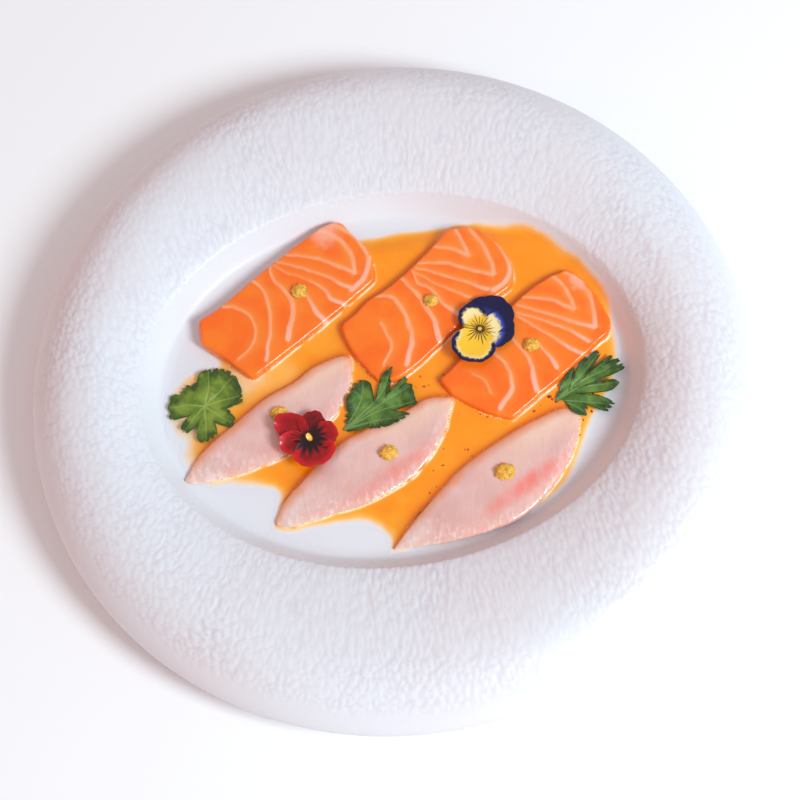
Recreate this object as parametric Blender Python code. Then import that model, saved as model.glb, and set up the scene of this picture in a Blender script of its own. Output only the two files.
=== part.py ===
"""Sashimi plate: a round white plate with a thick soft rim and an oval well.

In the well lie three salmon slices behind three white fish slices, in a shallow orange sauce.
On them rest coriander leaves, two viola flowers and a dab of paste on each slice.
Units are metres, +Z is up, and the origin is under the plate's centre, on the table.
"""

import math

import bmesh
import bpy
from mathutils import Euler, Vector
from mathutils.bvhtree import BVHTree

MM = 0.001
GAP = 0.0003

# Plate: circles outside, ellipses in the well, and a blend between the two on the rim.
PLATE_RADIUS = 0.140
EQUATOR_HEIGHT = 0.0125
CREST_RADIUS = 0.1165
CREST_HEIGHT = 0.028
WELL_HALF_LENGTH = 0.0983
WELL_HALF_WIDTH = 0.0791
FLOOR_HEIGHT = 0.011
PLATE_SEGMENTS = 64

# Underside: a flat foot ring round a shallow recess.
RECESS_HEIGHT = 0.003
RECESS_RADIUS = 0.076
FOOT_INNER_RADIUS = 0.079
FOOT_OUTER_RADIUS = 0.088
FOOT_HEIGHT = 0.0025

# Well wall, from the rim's edge down to the floor: (inset from the edge, height).
WELL_WALL = (
    (0.0, 0.0210),
    (0.0012, 0.0197),
    (0.0035, 0.0162),
    (0.0060, 0.0130),
    (0.0080, 0.0115),
    (0.0105, FLOOR_HEIGHT),
)

# Rim between the crest and the well's edge: (share of the way to the edge, height).
RIM_SLOPE = ((0.30, 0.0272), (0.60, 0.0252), (0.85, 0.0228))

# Outer side of the rim, from the foot up to the crest: (radius, height).
RIM_OUTSIDE = (
    (0.1230, 0.0022),
    (0.1305, 0.0034),
    (0.1360, 0.0063),
    (0.1391, 0.0096),
    (PLATE_RADIUS, EQUATOR_HEIGHT),
    (0.1391, 0.0161),
    (0.1362, 0.0201),
    (0.1310, 0.0243),
    (0.1245, 0.0271),
)

# Sauce
SAUCE_LEVEL = 0.0132
SAUCE_EDGE_DEPTH = 0.0005
SAUCE_POINTS = 90
SLICE_POINTS = 36

# Slice sections from the bottom up: (inset of the outline, share of the thickness).
SALMON_EDGE = ((0.0009, 0.0), (0.0, 0.22), (0.0002, 0.62), (0.0015, 0.93))
WHITE_EDGE = ((0.0005, 0.0), (0.0, 0.16), (0.0016, 0.62))

# Slice outlines seen from above, in millimetres: (x, y, corner radius), anticlockwise.
SALMON_THICKNESS = 0.0046
SALMON_OUTLINES = (
    ((-72.5, 24.3, 5), (-52.0, 5.3, 4), (-0.8, 43.8, 4), (-5.2, 62.8, 14), (-14.8, 71.2, 4), (-73.4, 34.8, 3)),
    (
        (-16.4, 13.3, 9), (-7.6, -0.4, 7), (6.8, -0.1, 5), (51.8, 31.4, 5), (54.0, 42.8, 9), (48.5, 53.8, 9),
        (39.0, 62.2, 7), (30.4, 62.0, 5), (12.3, 43.2, 18), (-18.2, 28.2, 5),
    ),
    (
        (21.2, -9.4, 6), (42.5, -24.4, 5), (64.0, -9.4, 30), (87.0, 9.0, 5), (83.8, 25.3, 14), (73.2, 38.4, 5),
        (57.0, 30.2, 20), (17.0, -2.6, 4),
    ),
)
WHITE_THICKNESS = 0.0038
WHITE_OUTLINES = (
    (
        (-85.2, -32.5, 2.5), (-41.0, -31.1, 16), (-17.4, -6.5, 25), (-16.6, 10.9, 4), (-26.5, 12.7, 8),
        (-50.0, 1.1, 40), (-77.5, -18.0, 20),
    ),
    (
        (-53.0, -54.7, 2.5), (-26.0, -51.5, 60), (3.8, -43.5, 18), (20.4, -25.5, 25), (23.2, -10.9, 5),
        (12.6, -9.1, 12), (-15.0, -19.7, 60), (-47.0, -39.5, 10),
    ),
    (
        (-9.0, -67.9, 2.5), (25.0, -68.9, 30), (48.2, -62.1, 16), (68.8, -37.5, 14), (71.4, -23.5, 5),
        (63.8, -18.9, 5), (21.8, -38.1, 50), (3.4, -55.1, 20),
    ),
)

# Sauce outline seen from above, in millimetres: (x, y, corner radius), anticlockwise.
SAUCE_OUTLINE = (
    (-84.0, -12.0, 9), (-72.0, -34.0, 6), (-40.0, -37.0, 5), (-44.0, -54.0, 4), (-28.0, -55.5, 20), (-10.0, -59.0, 5),
    (-8.0, -70.0, 3), (30.0, -67.0, 20), (56.0, -56.5, 9), (76.0, -36.0, 9), (85.5, -20.0, 9), (90.0, 8.0, 12),
    (84.0, 32.0, 14), (63.0, 52.0, 14), (42.0, 64.5, 12), (0.0, 67.0, 12), (-40.0, 30.0, 20), (-66.0, 14.0, 12),
    (-83.0, 6.0, 8),
)

# Coriander: a fan of toothed lobes. Lobes are (direction in degrees, reach, half width in degrees).
LEAF_THICKNESS = 0.0007
LEAF_POINTS = 54
LEAF_TOOTH = 0.0010
LEAF_TEETH_PER_LOBE = 3
LEAVES = (
    {
        "at": (-71.5, -4.5), "base": 0.0060, "tilt": (1.5, -1.0),
        "lobes": ((82, 0.0165, 52), (165, 0.0150, 48), (245, 0.0120, 45), (5, 0.0135, 40)),
    },
    {
        "at": (-2.0, -8.4), "base": 0.0045, "tilt": (-2.0, 1.5),
        "lobes": ((85, 0.0125, 32), (150, 0.0125, 36), (212, 0.0185, 26), (20, 0.0150, 40), (325, 0.0110, 34)),
    },
    {
        "at": (77.5, -12.5), "base": 0.0045, "tilt": (0.0, 5.0),
        "lobes": ((55, 0.0145, 34), (8, 0.0115, 26), (310, 0.0110, 34), (195, 0.0150, 26), (120, 0.0115, 36)),
    },
)

# Violas: petals are (direction in degrees, middle's distance, half length, half width).
PETAL_THICKNESS = 0.0008
PETAL_CUP = 0.0016
VIOLA_POINTS = 44
VIOLAS = {
    "viola_blue": {
        "at": (36.3, 11.9), "tilt": (4.0, -6.0),
        "petals": (
            (268, 0.0062, 0.0074, 0.0084), (182, 0.0050, 0.0056, 0.0052), (12, 0.0062, 0.0086, 0.0066),
            (58, 0.0084, 0.0076, 0.0076), (98, 0.0068, 0.0076, 0.0062),
        ),
    },
    "viola_red": {
        "at": (-34.2, -22.1), "tilt": (-3.0, 3.0),
        "petals": (
            (282, 0.0064, 0.0074, 0.0078), (352, 0.0060, 0.0068, 0.0060), (205, 0.0056, 0.0062, 0.0050),
            (142, 0.0096, 0.0078, 0.0064), (78, 0.0070, 0.0064, 0.0056),
        ),
    },
}

# Paste dabs: (x, y, half width, half height) in millimetres.
DAB_LUMP = 0.16
DABS = {
    "paste_salmon_1": (-31.7, 41.2, 3.4, 2.0),
    "paste_salmon_2": (19.5, 30.4, 3.1, 1.9),
    "paste_salmon_3": (55.4, 6.4, 3.4, 2.0),
    "paste_white_1": (-44.6, -9.1, 3.4, 2.0),
    "paste_white_2": (-5.1, -30.5, 3.7, 2.2),
    "paste_white_3": (38.0, -44.5, 4.0, 2.2),
}


def clear_scene():
    """Removes every object of the open scene."""
    for old in list(bpy.data.objects):
        bpy.data.objects.remove(old, do_unlink=True)


def new_collection(name):
    """Makes a collection under the scene's own."""
    collection = bpy.data.collections.new(name)
    bpy.context.scene.collection.children.link(collection)
    return collection


def make_material(name, colour, roughness):
    """Makes a Principled material; none of these surfaces is metallic."""
    material = bpy.data.materials.new(name)
    material.use_nodes = True
    shader = material.node_tree.nodes["Principled BSDF"]
    shader.inputs["Base Color"].default_value = (*colour, 1.0)
    shader.inputs["Roughness"].default_value = roughness
    shader.inputs["Metallic"].default_value = 0.0
    material.diffuse_color = (*colour, 1.0)
    return material


def add_object(name, form, material, collection):
    """Turns a bmesh into a smooth-shaded object of the collection."""
    bmesh.ops.recalc_face_normals(form, faces=form.faces)
    mesh = bpy.data.meshes.new(name)
    form.to_mesh(mesh)
    form.free()
    mesh.materials.append(material)
    mesh.shade_smooth()
    mesh.set_sharp_from_angle(angle=math.radians(50))
    thing = bpy.data.objects.new(name, mesh)
    collection.objects.link(thing)
    return thing


def ellipse_ring(half_length, half_width, height):
    """Points of one level ellipse of the plate."""
    step = math.tau / PLATE_SEGMENTS
    return [
        Vector((half_length * math.cos(k * step), half_width * math.sin(k * step), height))
        for k in range(PLATE_SEGMENTS)
    ]


def loft(rings, fan_caps=True):
    """Joins rings of equal count into one closed form, with a fan or one flat face at each end."""
    form = bmesh.new()
    loops = [[form.verts.new(point) for point in ring] for ring in rings]
    for lower, upper in zip(loops, loops[1:]):
        for k in range(len(lower)):
            after = (k + 1) % len(lower)
            form.faces.new((lower[k], lower[after], upper[after], upper[k]))
    caps = [form.faces.new(reversed(loops[0])), form.faces.new(loops[-1])]
    if fan_caps:
        bmesh.ops.poke(form, faces=caps)
    return form


def blended(share, height):
    """Ring of the rim's inner slope, a share of the way from the crest circle to the well's edge."""
    half_length = CREST_RADIUS + share * (WELL_HALF_LENGTH - CREST_RADIUS)
    half_width = CREST_RADIUS + share * (WELL_HALF_WIDTH - CREST_RADIUS)
    return ellipse_ring(half_length, half_width, height)


def build_plate(material, collection):
    """Plate as one loft: underside, foot ring, outer side, rim, wall and floor."""
    rings = [
        ellipse_ring(RECESS_RADIUS, RECESS_RADIUS, RECESS_HEIGHT),
        ellipse_ring(FOOT_INNER_RADIUS, FOOT_INNER_RADIUS, 0.0),
        ellipse_ring(FOOT_OUTER_RADIUS, FOOT_OUTER_RADIUS, 0.0),
        ellipse_ring(FOOT_OUTER_RADIUS + FOOT_HEIGHT, FOOT_OUTER_RADIUS + FOOT_HEIGHT, FOOT_HEIGHT),
    ]
    rings += [ellipse_ring(radius, radius, height) for radius, height in RIM_OUTSIDE]
    rings.append(ellipse_ring(CREST_RADIUS, CREST_RADIUS, CREST_HEIGHT))
    rings += [blended(share, height) for share, height in RIM_SLOPE]
    rings += [
        ellipse_ring(WELL_HALF_LENGTH - inset, WELL_HALF_WIDTH - inset, height) for inset, height in WELL_WALL
    ]
    return add_object("plate", loft(rings), material, collection)


def wall_inset(x, y):
    """How far inside the well's edge a place lies, found by halving; it stops at the flat floor."""
    low = 0.0
    high = WELL_WALL[-1][0]
    if (x / (WELL_HALF_LENGTH - high)) ** 2 + (y / (WELL_HALF_WIDTH - high)) ** 2 <= 1.0:
        return high
    for _ in range(24):
        middle = (low + high) / 2
        inside = (x / (WELL_HALF_LENGTH - middle)) ** 2 + (y / (WELL_HALF_WIDTH - middle)) ** 2 <= 1.0
        low, high = (middle, high) if inside else (low, middle)
    return low


def bed_height(x, y):
    """Height of the well's surface at a place inside it."""
    inset = wall_inset(x, y)
    for (inset_a, height_a), (inset_b, height_b) in zip(WELL_WALL, WELL_WALL[1:]):
        if inset <= inset_b:
            return height_a + (height_b - height_a) * (inset - inset_a) / (inset_b - inset_a)
    return FLOOR_HEIGHT


def corner_arc(before, corner, after, radius):
    """Points of the arc that rounds one corner, never reaching past half of either side."""
    to_before = before - corner
    to_after = after - corner
    half_angle = to_before.angle(to_after) / 2
    reach = min(radius / math.tan(half_angle), to_before.length * 0.49, to_after.length * 0.49)
    start = corner + to_before.normalized() * reach
    end = corner + to_after.normalized() * reach
    steps = 8
    return [
        start.lerp(corner, t).lerp(corner.lerp(end, t), t)
        for t in (k / steps for k in range(steps + 1))
    ]


def rounded_outline(corners, count):
    """Even points along a polygon with rounded corners, given in millimetres."""
    places = [Vector((x, y)) * MM for x, y, _ in corners]
    path = []
    for k, (_, _, radius) in enumerate(corners):
        path += corner_arc(places[k - 1], places[k], places[(k + 1) % len(places)], radius * MM)
    path.append(path[0])
    lengths = [(b - a).length for a, b in zip(path, path[1:])]
    spacing = sum(lengths) / count
    points = []
    walked = 0.0
    for a, b, length in zip(path, path[1:], lengths):
        while len(points) < count and len(points) * spacing <= walked + length and length > 0:
            points.append(a.lerp(b, (len(points) * spacing - walked) / length))
        walked += length
    return points


def inset_outline(points, distance):
    """Moves every point of an anticlockwise outline inwards, or outwards if negative."""
    moved = []
    for k, point in enumerate(points):
        along = (points[(k + 1) % len(points)] - points[k - 1]).normalized()
        moved.append(point + Vector((-along.y, along.x)) * distance)
    return moved


def draped_ring(points, rise):
    """Ring a given rise above the well's surface, with the gap that touching pieces keep."""
    return [Vector((p.x, p.y, bed_height(p.x, p.y) + GAP + rise)) for p in points]


def build_slice(name, corners, thickness, edge, material, collection):
    """Slice of fish: rounded sides from its edge sections, then a slightly domed top."""
    outline = rounded_outline(corners, SLICE_POINTS)
    rings = [draped_ring(inset_outline(outline, inset), share * thickness) for inset, share in edge]
    middle = sum(outline, Vector((0, 0))) / len(outline)
    shrunk = [middle.lerp(point, 0.72) for point in outline]
    rings.append(draped_ring(shrunk, thickness))
    return add_object(name, loft(rings), material, collection)


def slice_cutter(name, corners, cutters):
    """Prism a gap wider than a slice, which cuts the sauce round it."""
    outline = inset_outline(rounded_outline(corners, SLICE_POINTS), -GAP - 0.0001)
    low = FLOOR_HEIGHT - 0.002
    high = SAUCE_LEVEL + 0.002
    form = loft([[Vector((p.x, p.y, z)) for p in outline] for z in (low, high)], fan_caps=False)
    bmesh.ops.recalc_face_normals(form, faces=form.faces)
    mesh = bpy.data.meshes.new(name)
    form.to_mesh(mesh)
    form.free()
    cutter = bpy.data.objects.new(name, mesh)
    cutter.hide_render = True
    cutter.display_type = "WIRE"
    cutters.objects.link(cutter)
    return cutter


def kept_in_well(point):
    """Draws a point of the sauce's edge inwards until the wall leaves it room below the sauce's level."""
    while bed_height(point.x, point.y) + GAP > SAUCE_LEVEL - SAUCE_EDGE_DEPTH:
        point = point * 0.998
    return point


def build_sauce(material, collection, cutters):
    """Shallow pool on the well's floor, up to its level, cut round the slices."""
    outline = [kept_in_well(point) for point in rounded_outline(SAUCE_OUTLINE, SAUCE_POINTS)]
    foot = draped_ring(outline, 0.0)
    top = [Vector((p.x, p.y, SAUCE_LEVEL)) for p in outline]
    sauce = add_object("sauce", loft([foot, top], fan_caps=False), material, collection)
    cut = sauce.modifiers.new("round the slices", "BOOLEAN")
    cut.operation = "DIFFERENCE"
    cut.solver = "EXACT"
    cut.operand_type = "COLLECTION"
    cut.collection = cutters
    return sauce


def surface_below(things):
    """Search tree of the solids that a garnish may rest on, and their corner points."""
    corners = []
    faces = []
    for thing in things:
        first = len(corners)
        corners += [vertex.co.copy() for vertex in thing.data.vertices]
        faces += [[first + k for k in face.vertices] for face in thing.data.polygons]
    return BVHTree.FromPolygons(corners, faces), corners


def settle(thing, supports):
    """Lowers a garnish until it lies one gap above what is under it."""
    tree, corners = surface_below(supports)
    shape = [vertex.co.copy() for vertex in thing.data.vertices]
    faces = [list(face.vertices) for face in thing.data.polygons]
    own_tree = BVHTree.FromPolygons(shape, faces)
    down = Vector((0, 0, -1))
    room = []
    for point in shape:
        hit = tree.ray_cast(point, down)[0]
        if hit is not None:
            room.append((point - hit).length)
    for point in corners:
        hit = own_tree.ray_cast(point, -down)[0]
        if hit is not None:
            room.append((hit - point).length)
    drop = min(room) - GAP
    for vertex in thing.data.vertices:
        vertex.co.z -= drop


def leaf_reach(angle, leaf):
    """Distance from a leaf's middle to its toothed edge in one direction, in radians."""
    reach = leaf["base"]
    for direction, length, half_width in leaf["lobes"]:
        turn = math.remainder(angle - math.radians(direction), math.tau) / math.radians(half_width)
        if abs(turn) < 1.0:
            lobe = leaf["base"] + (length - leaf["base"]) * math.sqrt(math.cos(turn * math.pi / 2))
            tooth = LEAF_TOOTH * abs(math.cos(turn * math.pi * LEAF_TEETH_PER_LOBE / 2))
            reach = max(reach, lobe + tooth - LEAF_TOOTH)
    return reach


def sheet_form(reach, count, thickness, cup, place, tilt):
    """Thin lobed sheet: two faces a thickness apart, cupped upwards towards its edge."""
    turn = Euler((math.radians(tilt[0]), math.radians(tilt[1]), 0.0)).to_matrix()
    rings = []
    for share, lift in ((0.55, 0.0), (1.0, 0.0), (1.0, thickness), (0.55, thickness)):
        ring = []
        for k in range(count):
            angle = math.tau * k / count
            radius = reach(angle) * share
            flat = Vector((radius * math.cos(angle), radius * math.sin(angle), lift + cup * share * share))
            ring.append(turn @ flat + place)
        rings.append(ring)
    return loft(rings)


def build_leaf(number, leaf, supports, material, collection):
    """Coriander leaf, laid on the slices and the well."""
    place = Vector((leaf["at"][0] * MM, leaf["at"][1] * MM, 2 * CREST_HEIGHT))
    form = sheet_form(
        lambda angle: leaf_reach(angle, leaf), LEAF_POINTS, LEAF_THICKNESS, 0.0, place, leaf["tilt"]
    )
    thing = add_object(f"coriander_{number}", form, material, collection)
    settle(thing, supports)
    return thing


def petal_reach(angle, petals):
    """Distance from a flower's middle to the outer edge of its petals in one direction."""
    reach = 0.003
    for direction, distance, half_length, half_width in petals:
        turn = angle - math.radians(direction)
        along = math.cos(turn) / half_length
        across = math.sin(turn) / half_width
        middle = distance / half_length
        spread = along * along + across * across
        root = (along * middle) ** 2 - spread * (middle * middle - 1.0)
        if root > 0:
            reach = max(reach, (along * middle + math.sqrt(root)) / spread)
    return reach


def build_viola(name, flower, supports, material, collection):
    """Viola: five rounded petals in one cupped sheet."""
    place = Vector((flower["at"][0] * MM, flower["at"][1] * MM, 2 * CREST_HEIGHT))
    form = sheet_form(
        lambda angle: petal_reach(angle, flower["petals"]), VIOLA_POINTS, PETAL_THICKNESS, PETAL_CUP, place,
        flower["tilt"],
    )
    thing = add_object(name, form, material, collection)
    settle(thing, supports)
    return thing


def build_dab(name, size, supports, material, collection):
    """Dab of paste: a lumpy mound with a flat base."""
    x, y, half_width, half_height = (value * MM for value in size)
    form = bmesh.new()
    bmesh.ops.create_uvsphere(form, u_segments=12, v_segments=8, radius=1.0)
    for vertex in form.verts:
        angle = math.atan2(vertex.co.y, vertex.co.x)
        lump = 1.0 + DAB_LUMP * math.sin(3 * angle + 900 * x) * (1 - vertex.co.z ** 2)
        vertex.co.x *= half_width * lump
        vertex.co.y *= half_width * lump * 0.86
        vertex.co.z = max(vertex.co.z, -0.38) * half_height
        vertex.co += Vector((x, y, 2 * CREST_HEIGHT))
    thing = add_object(name, form, material, collection)
    settle(thing, supports)
    return thing


def main():
    """Builds the plate and everything on it."""
    clear_scene()
    parts = new_collection("sashimi_plate")
    cutters = new_collection("cutters")
    porcelain = make_material("plate", (0.82, 0.80, 0.83), 0.45)
    salmon_flesh = make_material("salmon", (0.94, 0.24, 0.06), 0.30)
    white_flesh = make_material("white_fish", (0.80, 0.52, 0.45), 0.28)
    green = make_material("coriander", (0.12, 0.20, 0.03), 0.45)
    orange = make_material("sauce", (0.86, 0.33, 0.05), 0.12)
    paste = make_material("paste", (0.80, 0.45, 0.05), 0.60)
    petals = {
        "viola_blue": make_material("viola_blue", (0.02, 0.03, 0.14), 0.55),
        "viola_red": make_material("viola_red", (0.32, 0.01, 0.01), 0.55),
    }

    plate = build_plate(porcelain, parts)
    slices = []
    for number, corners in enumerate(SALMON_OUTLINES, start=1):
        name = f"salmon_{number}"
        slices.append(
            build_slice(name, corners, SALMON_THICKNESS, SALMON_EDGE, salmon_flesh, parts)
        )
        slice_cutter(f"round_{name}", corners, cutters)
    for number, corners in enumerate(WHITE_OUTLINES, start=1):
        name = f"white_fish_{number}"
        slices.append(build_slice(name, corners, WHITE_THICKNESS, WHITE_EDGE, white_flesh, parts))
        slice_cutter(f"round_{name}", corners, cutters)
    build_sauce(orange, parts, cutters)

    dabs = [build_dab(name, size, slices, paste, parts) for name, size in DABS.items()]
    supports = [plate, *slices, *dabs]
    for number, leaf in enumerate(LEAVES, start=1):
        supports.append(build_leaf(number, leaf, supports, green, parts))
    for name, flower in VIOLAS.items():
        supports.append(build_viola(name, flower, supports, petals[name], parts))


main()
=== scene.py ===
"""Looks of the sashimi plate: grained porcelain, salmon, white fish, orange sauce, leaves and flowers."""

import logging
import math
from dataclasses import dataclass, field
from enum import Enum
from typing import Optional, Sequence

import bpy
import numpy as np
from mathutils import Matrix, Vector, kdtree, noise
from mathutils.bvhtree import BVHTree

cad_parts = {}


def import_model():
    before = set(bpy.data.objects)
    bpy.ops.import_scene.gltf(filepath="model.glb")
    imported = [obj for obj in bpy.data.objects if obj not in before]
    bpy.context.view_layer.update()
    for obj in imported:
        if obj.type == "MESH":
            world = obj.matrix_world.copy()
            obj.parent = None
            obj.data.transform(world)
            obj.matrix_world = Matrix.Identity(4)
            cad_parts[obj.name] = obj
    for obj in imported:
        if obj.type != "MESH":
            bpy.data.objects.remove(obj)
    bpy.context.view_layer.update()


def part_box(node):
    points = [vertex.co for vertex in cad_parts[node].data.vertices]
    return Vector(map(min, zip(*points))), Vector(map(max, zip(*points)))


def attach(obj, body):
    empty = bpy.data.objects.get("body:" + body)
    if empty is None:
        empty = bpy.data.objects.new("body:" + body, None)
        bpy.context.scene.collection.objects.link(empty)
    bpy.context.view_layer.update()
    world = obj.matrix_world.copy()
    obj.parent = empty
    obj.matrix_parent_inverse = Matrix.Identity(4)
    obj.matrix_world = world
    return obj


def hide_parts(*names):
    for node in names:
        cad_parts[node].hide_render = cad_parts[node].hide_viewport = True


MM = 0.001
BODY = "root"
GRAIN_SEED = 7
CORNER_STEPS = 9
LOG = logging.getLogger("sashimi_plate")

Colour = tuple[float, float, float]


# ---------------------------------------------------------------- helpers


def shade(red: int, green: int, blue: int) -> Colour:
    """Turns a display colour of 0 to 255 a channel into the linear values that shaders take.

    Args:
        red: Red channel.
        green: Green channel.
        blue: Blue channel.

    Returns:
        The three linear values.
    """
    def channel(value: int) -> float:
        """One channel, by the display curve."""
        part = value / 255.0
        return part / 12.92 if part <= 0.04045 else ((part + 0.055) / 1.055) ** 2.4

    return channel(red), channel(green), channel(blue)


def smooth_step(low: float, high: float, values: np.ndarray) -> np.ndarray:
    """Rises smoothly from 0 at low to 1 at high.

    Args:
        low: Value where the step starts.
        high: Value where the step ends; it may be below low for a falling step.
        values: Values to map.

    Returns:
        The mapped values, between 0 and 1.
    """
    share = np.clip((values - low) / (high - low), 0.0, 1.0)
    return share * share * (3.0 - 2.0 * share)


def deselect_all() -> None:
    """Leaves object mode with nothing selected."""
    if bpy.context.mode != "OBJECT":
        bpy.ops.object.mode_set(mode="OBJECT")
    bpy.ops.object.select_all(action="DESELECT")


def enter_edit(piece: bpy.types.Object) -> None:
    """Opens one piece alone in edit mode, with all of it selected.

    Args:
        piece: The piece to open.
    """
    deselect_all()
    piece.select_set(True)
    bpy.context.view_layer.objects.active = piece
    bpy.ops.object.mode_set(mode="EDIT")
    bpy.ops.mesh.select_all(action="SELECT")


def leave_edit() -> None:
    """Goes back to object mode."""
    bpy.ops.object.mode_set(mode="OBJECT")


class Element(Enum):
    """What a choice in edit mode is made of."""

    CORNERS = "VERT"
    EDGES = "EDGE"
    FACES = "FACE"


def choose(piece: bpy.types.Object, element: Element, chosen: np.ndarray) -> None:
    """Opens a piece in edit mode with only some of it selected.

    Args:
        piece: The piece to open.
        element: What is selected.
        chosen: True for each corner, edge or face that is selected.
    """
    enter_edit(piece)
    bpy.ops.mesh.select_mode(type=element.value)
    bpy.ops.mesh.select_all(action="DESELECT")
    leave_edit()
    members = {
        Element.CORNERS: piece.data.vertices,
        Element.EDGES: piece.data.edges,
        Element.FACES: piece.data.polygons,
    }
    members[element].foreach_set("select", chosen)
    bpy.ops.object.mode_set(mode="EDIT")


def points_of(piece: bpy.types.Object) -> np.ndarray:
    """Corner points of a piece's mesh, one row each.

    Args:
        piece: The piece to read.

    Returns:
        Its points.
    """
    flat = np.empty(len(piece.data.vertices) * 3)
    piece.data.vertices.foreach_get("co", flat)
    return flat.reshape(-1, 3)


def vertex_normals(piece: bpy.types.Object) -> np.ndarray:
    """Outward directions at the corners of a piece's mesh, one row each.

    Args:
        piece: The piece to read.

    Returns:
        Its normals.
    """
    flat = np.empty(len(piece.data.vertices) * 3)
    piece.data.vertices.foreach_get("normal", flat)
    return flat.reshape(-1, 3)


def place_points(piece: bpy.types.Object, points: np.ndarray) -> None:
    """Moves every corner of a piece's mesh to the given points."""
    piece.data.vertices.foreach_set("co", points.ravel())
    piece.data.update()


def store_values(piece: bpy.types.Object, name: str, values: np.ndarray) -> None:
    """Keeps one number for each corner, for the material to read by name."""
    layer = piece.data.attributes.new(name, "FLOAT", "POINT")
    layer.data.foreach_set("value", values.astype(np.float32))


def grid_piece(name: str, columns: int, rows: int) -> bpy.types.Object:
    """Adds a flat grid from -1 to 1 both ways.

    Args:
        name: Name of the new piece.
        columns: Faces along X.
        rows: Faces along Y.

    Returns:
        The new piece, at the origin.
    """
    deselect_all()
    bpy.ops.mesh.primitive_grid_add(x_subdivisions=columns, y_subdivisions=rows, size=2.0)
    piece = bpy.context.object
    piece.name = name
    piece.data.name = name
    return piece


def disc_points(square: np.ndarray) -> np.ndarray:
    """Carries points of the square from -1 to 1 onto the unit disc, ring by ring.

    Args:
        square: Points with x and y between -1 and 1.

    Returns:
        Points on the disc, with the square's edge on its rim.
    """
    x, y = square[:, 0], square[:, 1]
    radius = np.maximum(np.abs(x), np.abs(y))
    flat = np.abs(x) >= np.abs(y)
    with np.errstate(divide="ignore", invalid="ignore"):
        angle = np.where(flat, np.pi / 4 * (y / x), np.pi / 2 - np.pi / 4 * (x / y))
    angle = np.nan_to_num(angle)
    sign = np.where(flat, np.sign(x), np.sign(y))
    reach = radius * np.where(sign == 0, 1.0, sign)
    return np.stack([reach * np.cos(angle), reach * np.sin(angle)], axis=1)


def waves(points: np.ndarray, size: float, seed: float, octaves: int = 2) -> np.ndarray:
    """Smooth random heights about 0.

    Args:
        points: Places, in metres.
        size: Width of one wave, in metres.
        seed: Moves the pattern.
        octaves: Layers of finer waves.

    Returns:
        A height for each place, mostly between -1 and 1.
    """
    shift = Vector((seed * 7.31, seed * 3.17, seed * 1.73))
    return np.array([
        noise.fractal(Vector(point) / size + shift, 1.0, 2.0, octaves, noise_basis="PERLIN_ORIGINAL")
        for point in points
    ])


def round_shade(piece: bpy.types.Object, angle: float = 60.0) -> None:
    """Shades a piece smooth, except over edges sharper than the angle in degrees.

    Args:
        piece: The piece to shade.
        angle: Sharpest turn that still looks smooth, in degrees.
    """
    deselect_all()
    piece.select_set(True)
    bpy.context.view_layer.objects.active = piece
    bpy.ops.object.shade_smooth_by_angle(angle=math.radians(angle))
    piece.select_set(False)


def thicken(piece: bpy.types.Object, thickness: float) -> None:
    """Gives an open sheet a thickness below its own face.

    Args:
        piece: The sheet.
        thickness: Thickness in metres.
    """
    deselect_all()
    piece.select_set(True)
    bpy.context.view_layer.objects.active = piece
    wall = piece.modifiers.new("wall", "SOLIDIFY")
    wall.thickness = thickness
    wall.offset = -1.0
    bpy.ops.object.modifier_apply(modifier=wall.name)


def join_pieces(pieces: Sequence[bpy.types.Object], name: str) -> bpy.types.Object:
    """Joins pieces into the first one and names it.

    Args:
        pieces: Pieces to join.
        name: Name of the joined piece.

    Returns:
        The joined piece.
    """
    deselect_all()
    for piece in pieces:
        piece.select_set(True)
    bpy.context.view_layer.objects.active = pieces[0]
    bpy.ops.object.join()
    joined = bpy.context.object
    joined.name = name
    joined.data.name = name
    return joined


def search_tree(piece: bpy.types.Object) -> BVHTree:
    """Tree of a piece's faces, for finding what lies under a place.

    Args:
        piece: The piece to read.

    Returns:
        The tree.
    """
    corners = [vertex.co.copy() for vertex in piece.data.vertices]
    faces = [tuple(face.vertices) for face in piece.data.polygons]
    return BVHTree.FromPolygons(corners, faces)


def hand_over(piece: bpy.types.Object, slot: str, node: Optional[str], material: bpy.types.Material) -> None:
    """Dresses a finished piece and enters it in the frame.

    Args:
        piece: The finished piece.
        slot: Material slot of the record that its finish belongs to.
        node: Solid that it stands for, or None for trim.
        material: Its finish.
    """
    piece.data.materials.clear()
    piece.data.materials.append(material)
    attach(piece, BODY)
    if node is not None:
        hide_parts(node)
    LOG.info("%s: %d faces, slot %s, for %s", piece.name, len(piece.data.polygons), slot, node or "trim")


# ---------------------------------------------------------------- ground and outlines


@dataclass
class Ground:
    """Finished surfaces that later pieces lie on."""

    trees: list[BVHTree] = field(default_factory=list)

    def add(self, piece: bpy.types.Object) -> None:
        """Counts a piece as something to lie on."""
        self.trees.append(search_tree(piece))

    def heights(self, points: np.ndarray, last: Optional[int] = None) -> np.ndarray:
        """Height of the highest surface under each place.

        Args:
            points: Places, of which x and y are read.
            last: How many of the first surfaces count, or None for all.

        Returns:
            A height for each place; 0 where nothing lies.
        """
        down = Vector((0.0, 0.0, -1.0))
        result = np.zeros(len(points))
        for tree in self.trees[:last]:
            for k, point in enumerate(points):
                hit = tree.ray_cast(Vector((point[0], point[1], 0.1)), down)[0]
                if hit is not None and hit.z > result[k]:
                    result[k] = hit.z
        return result


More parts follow.
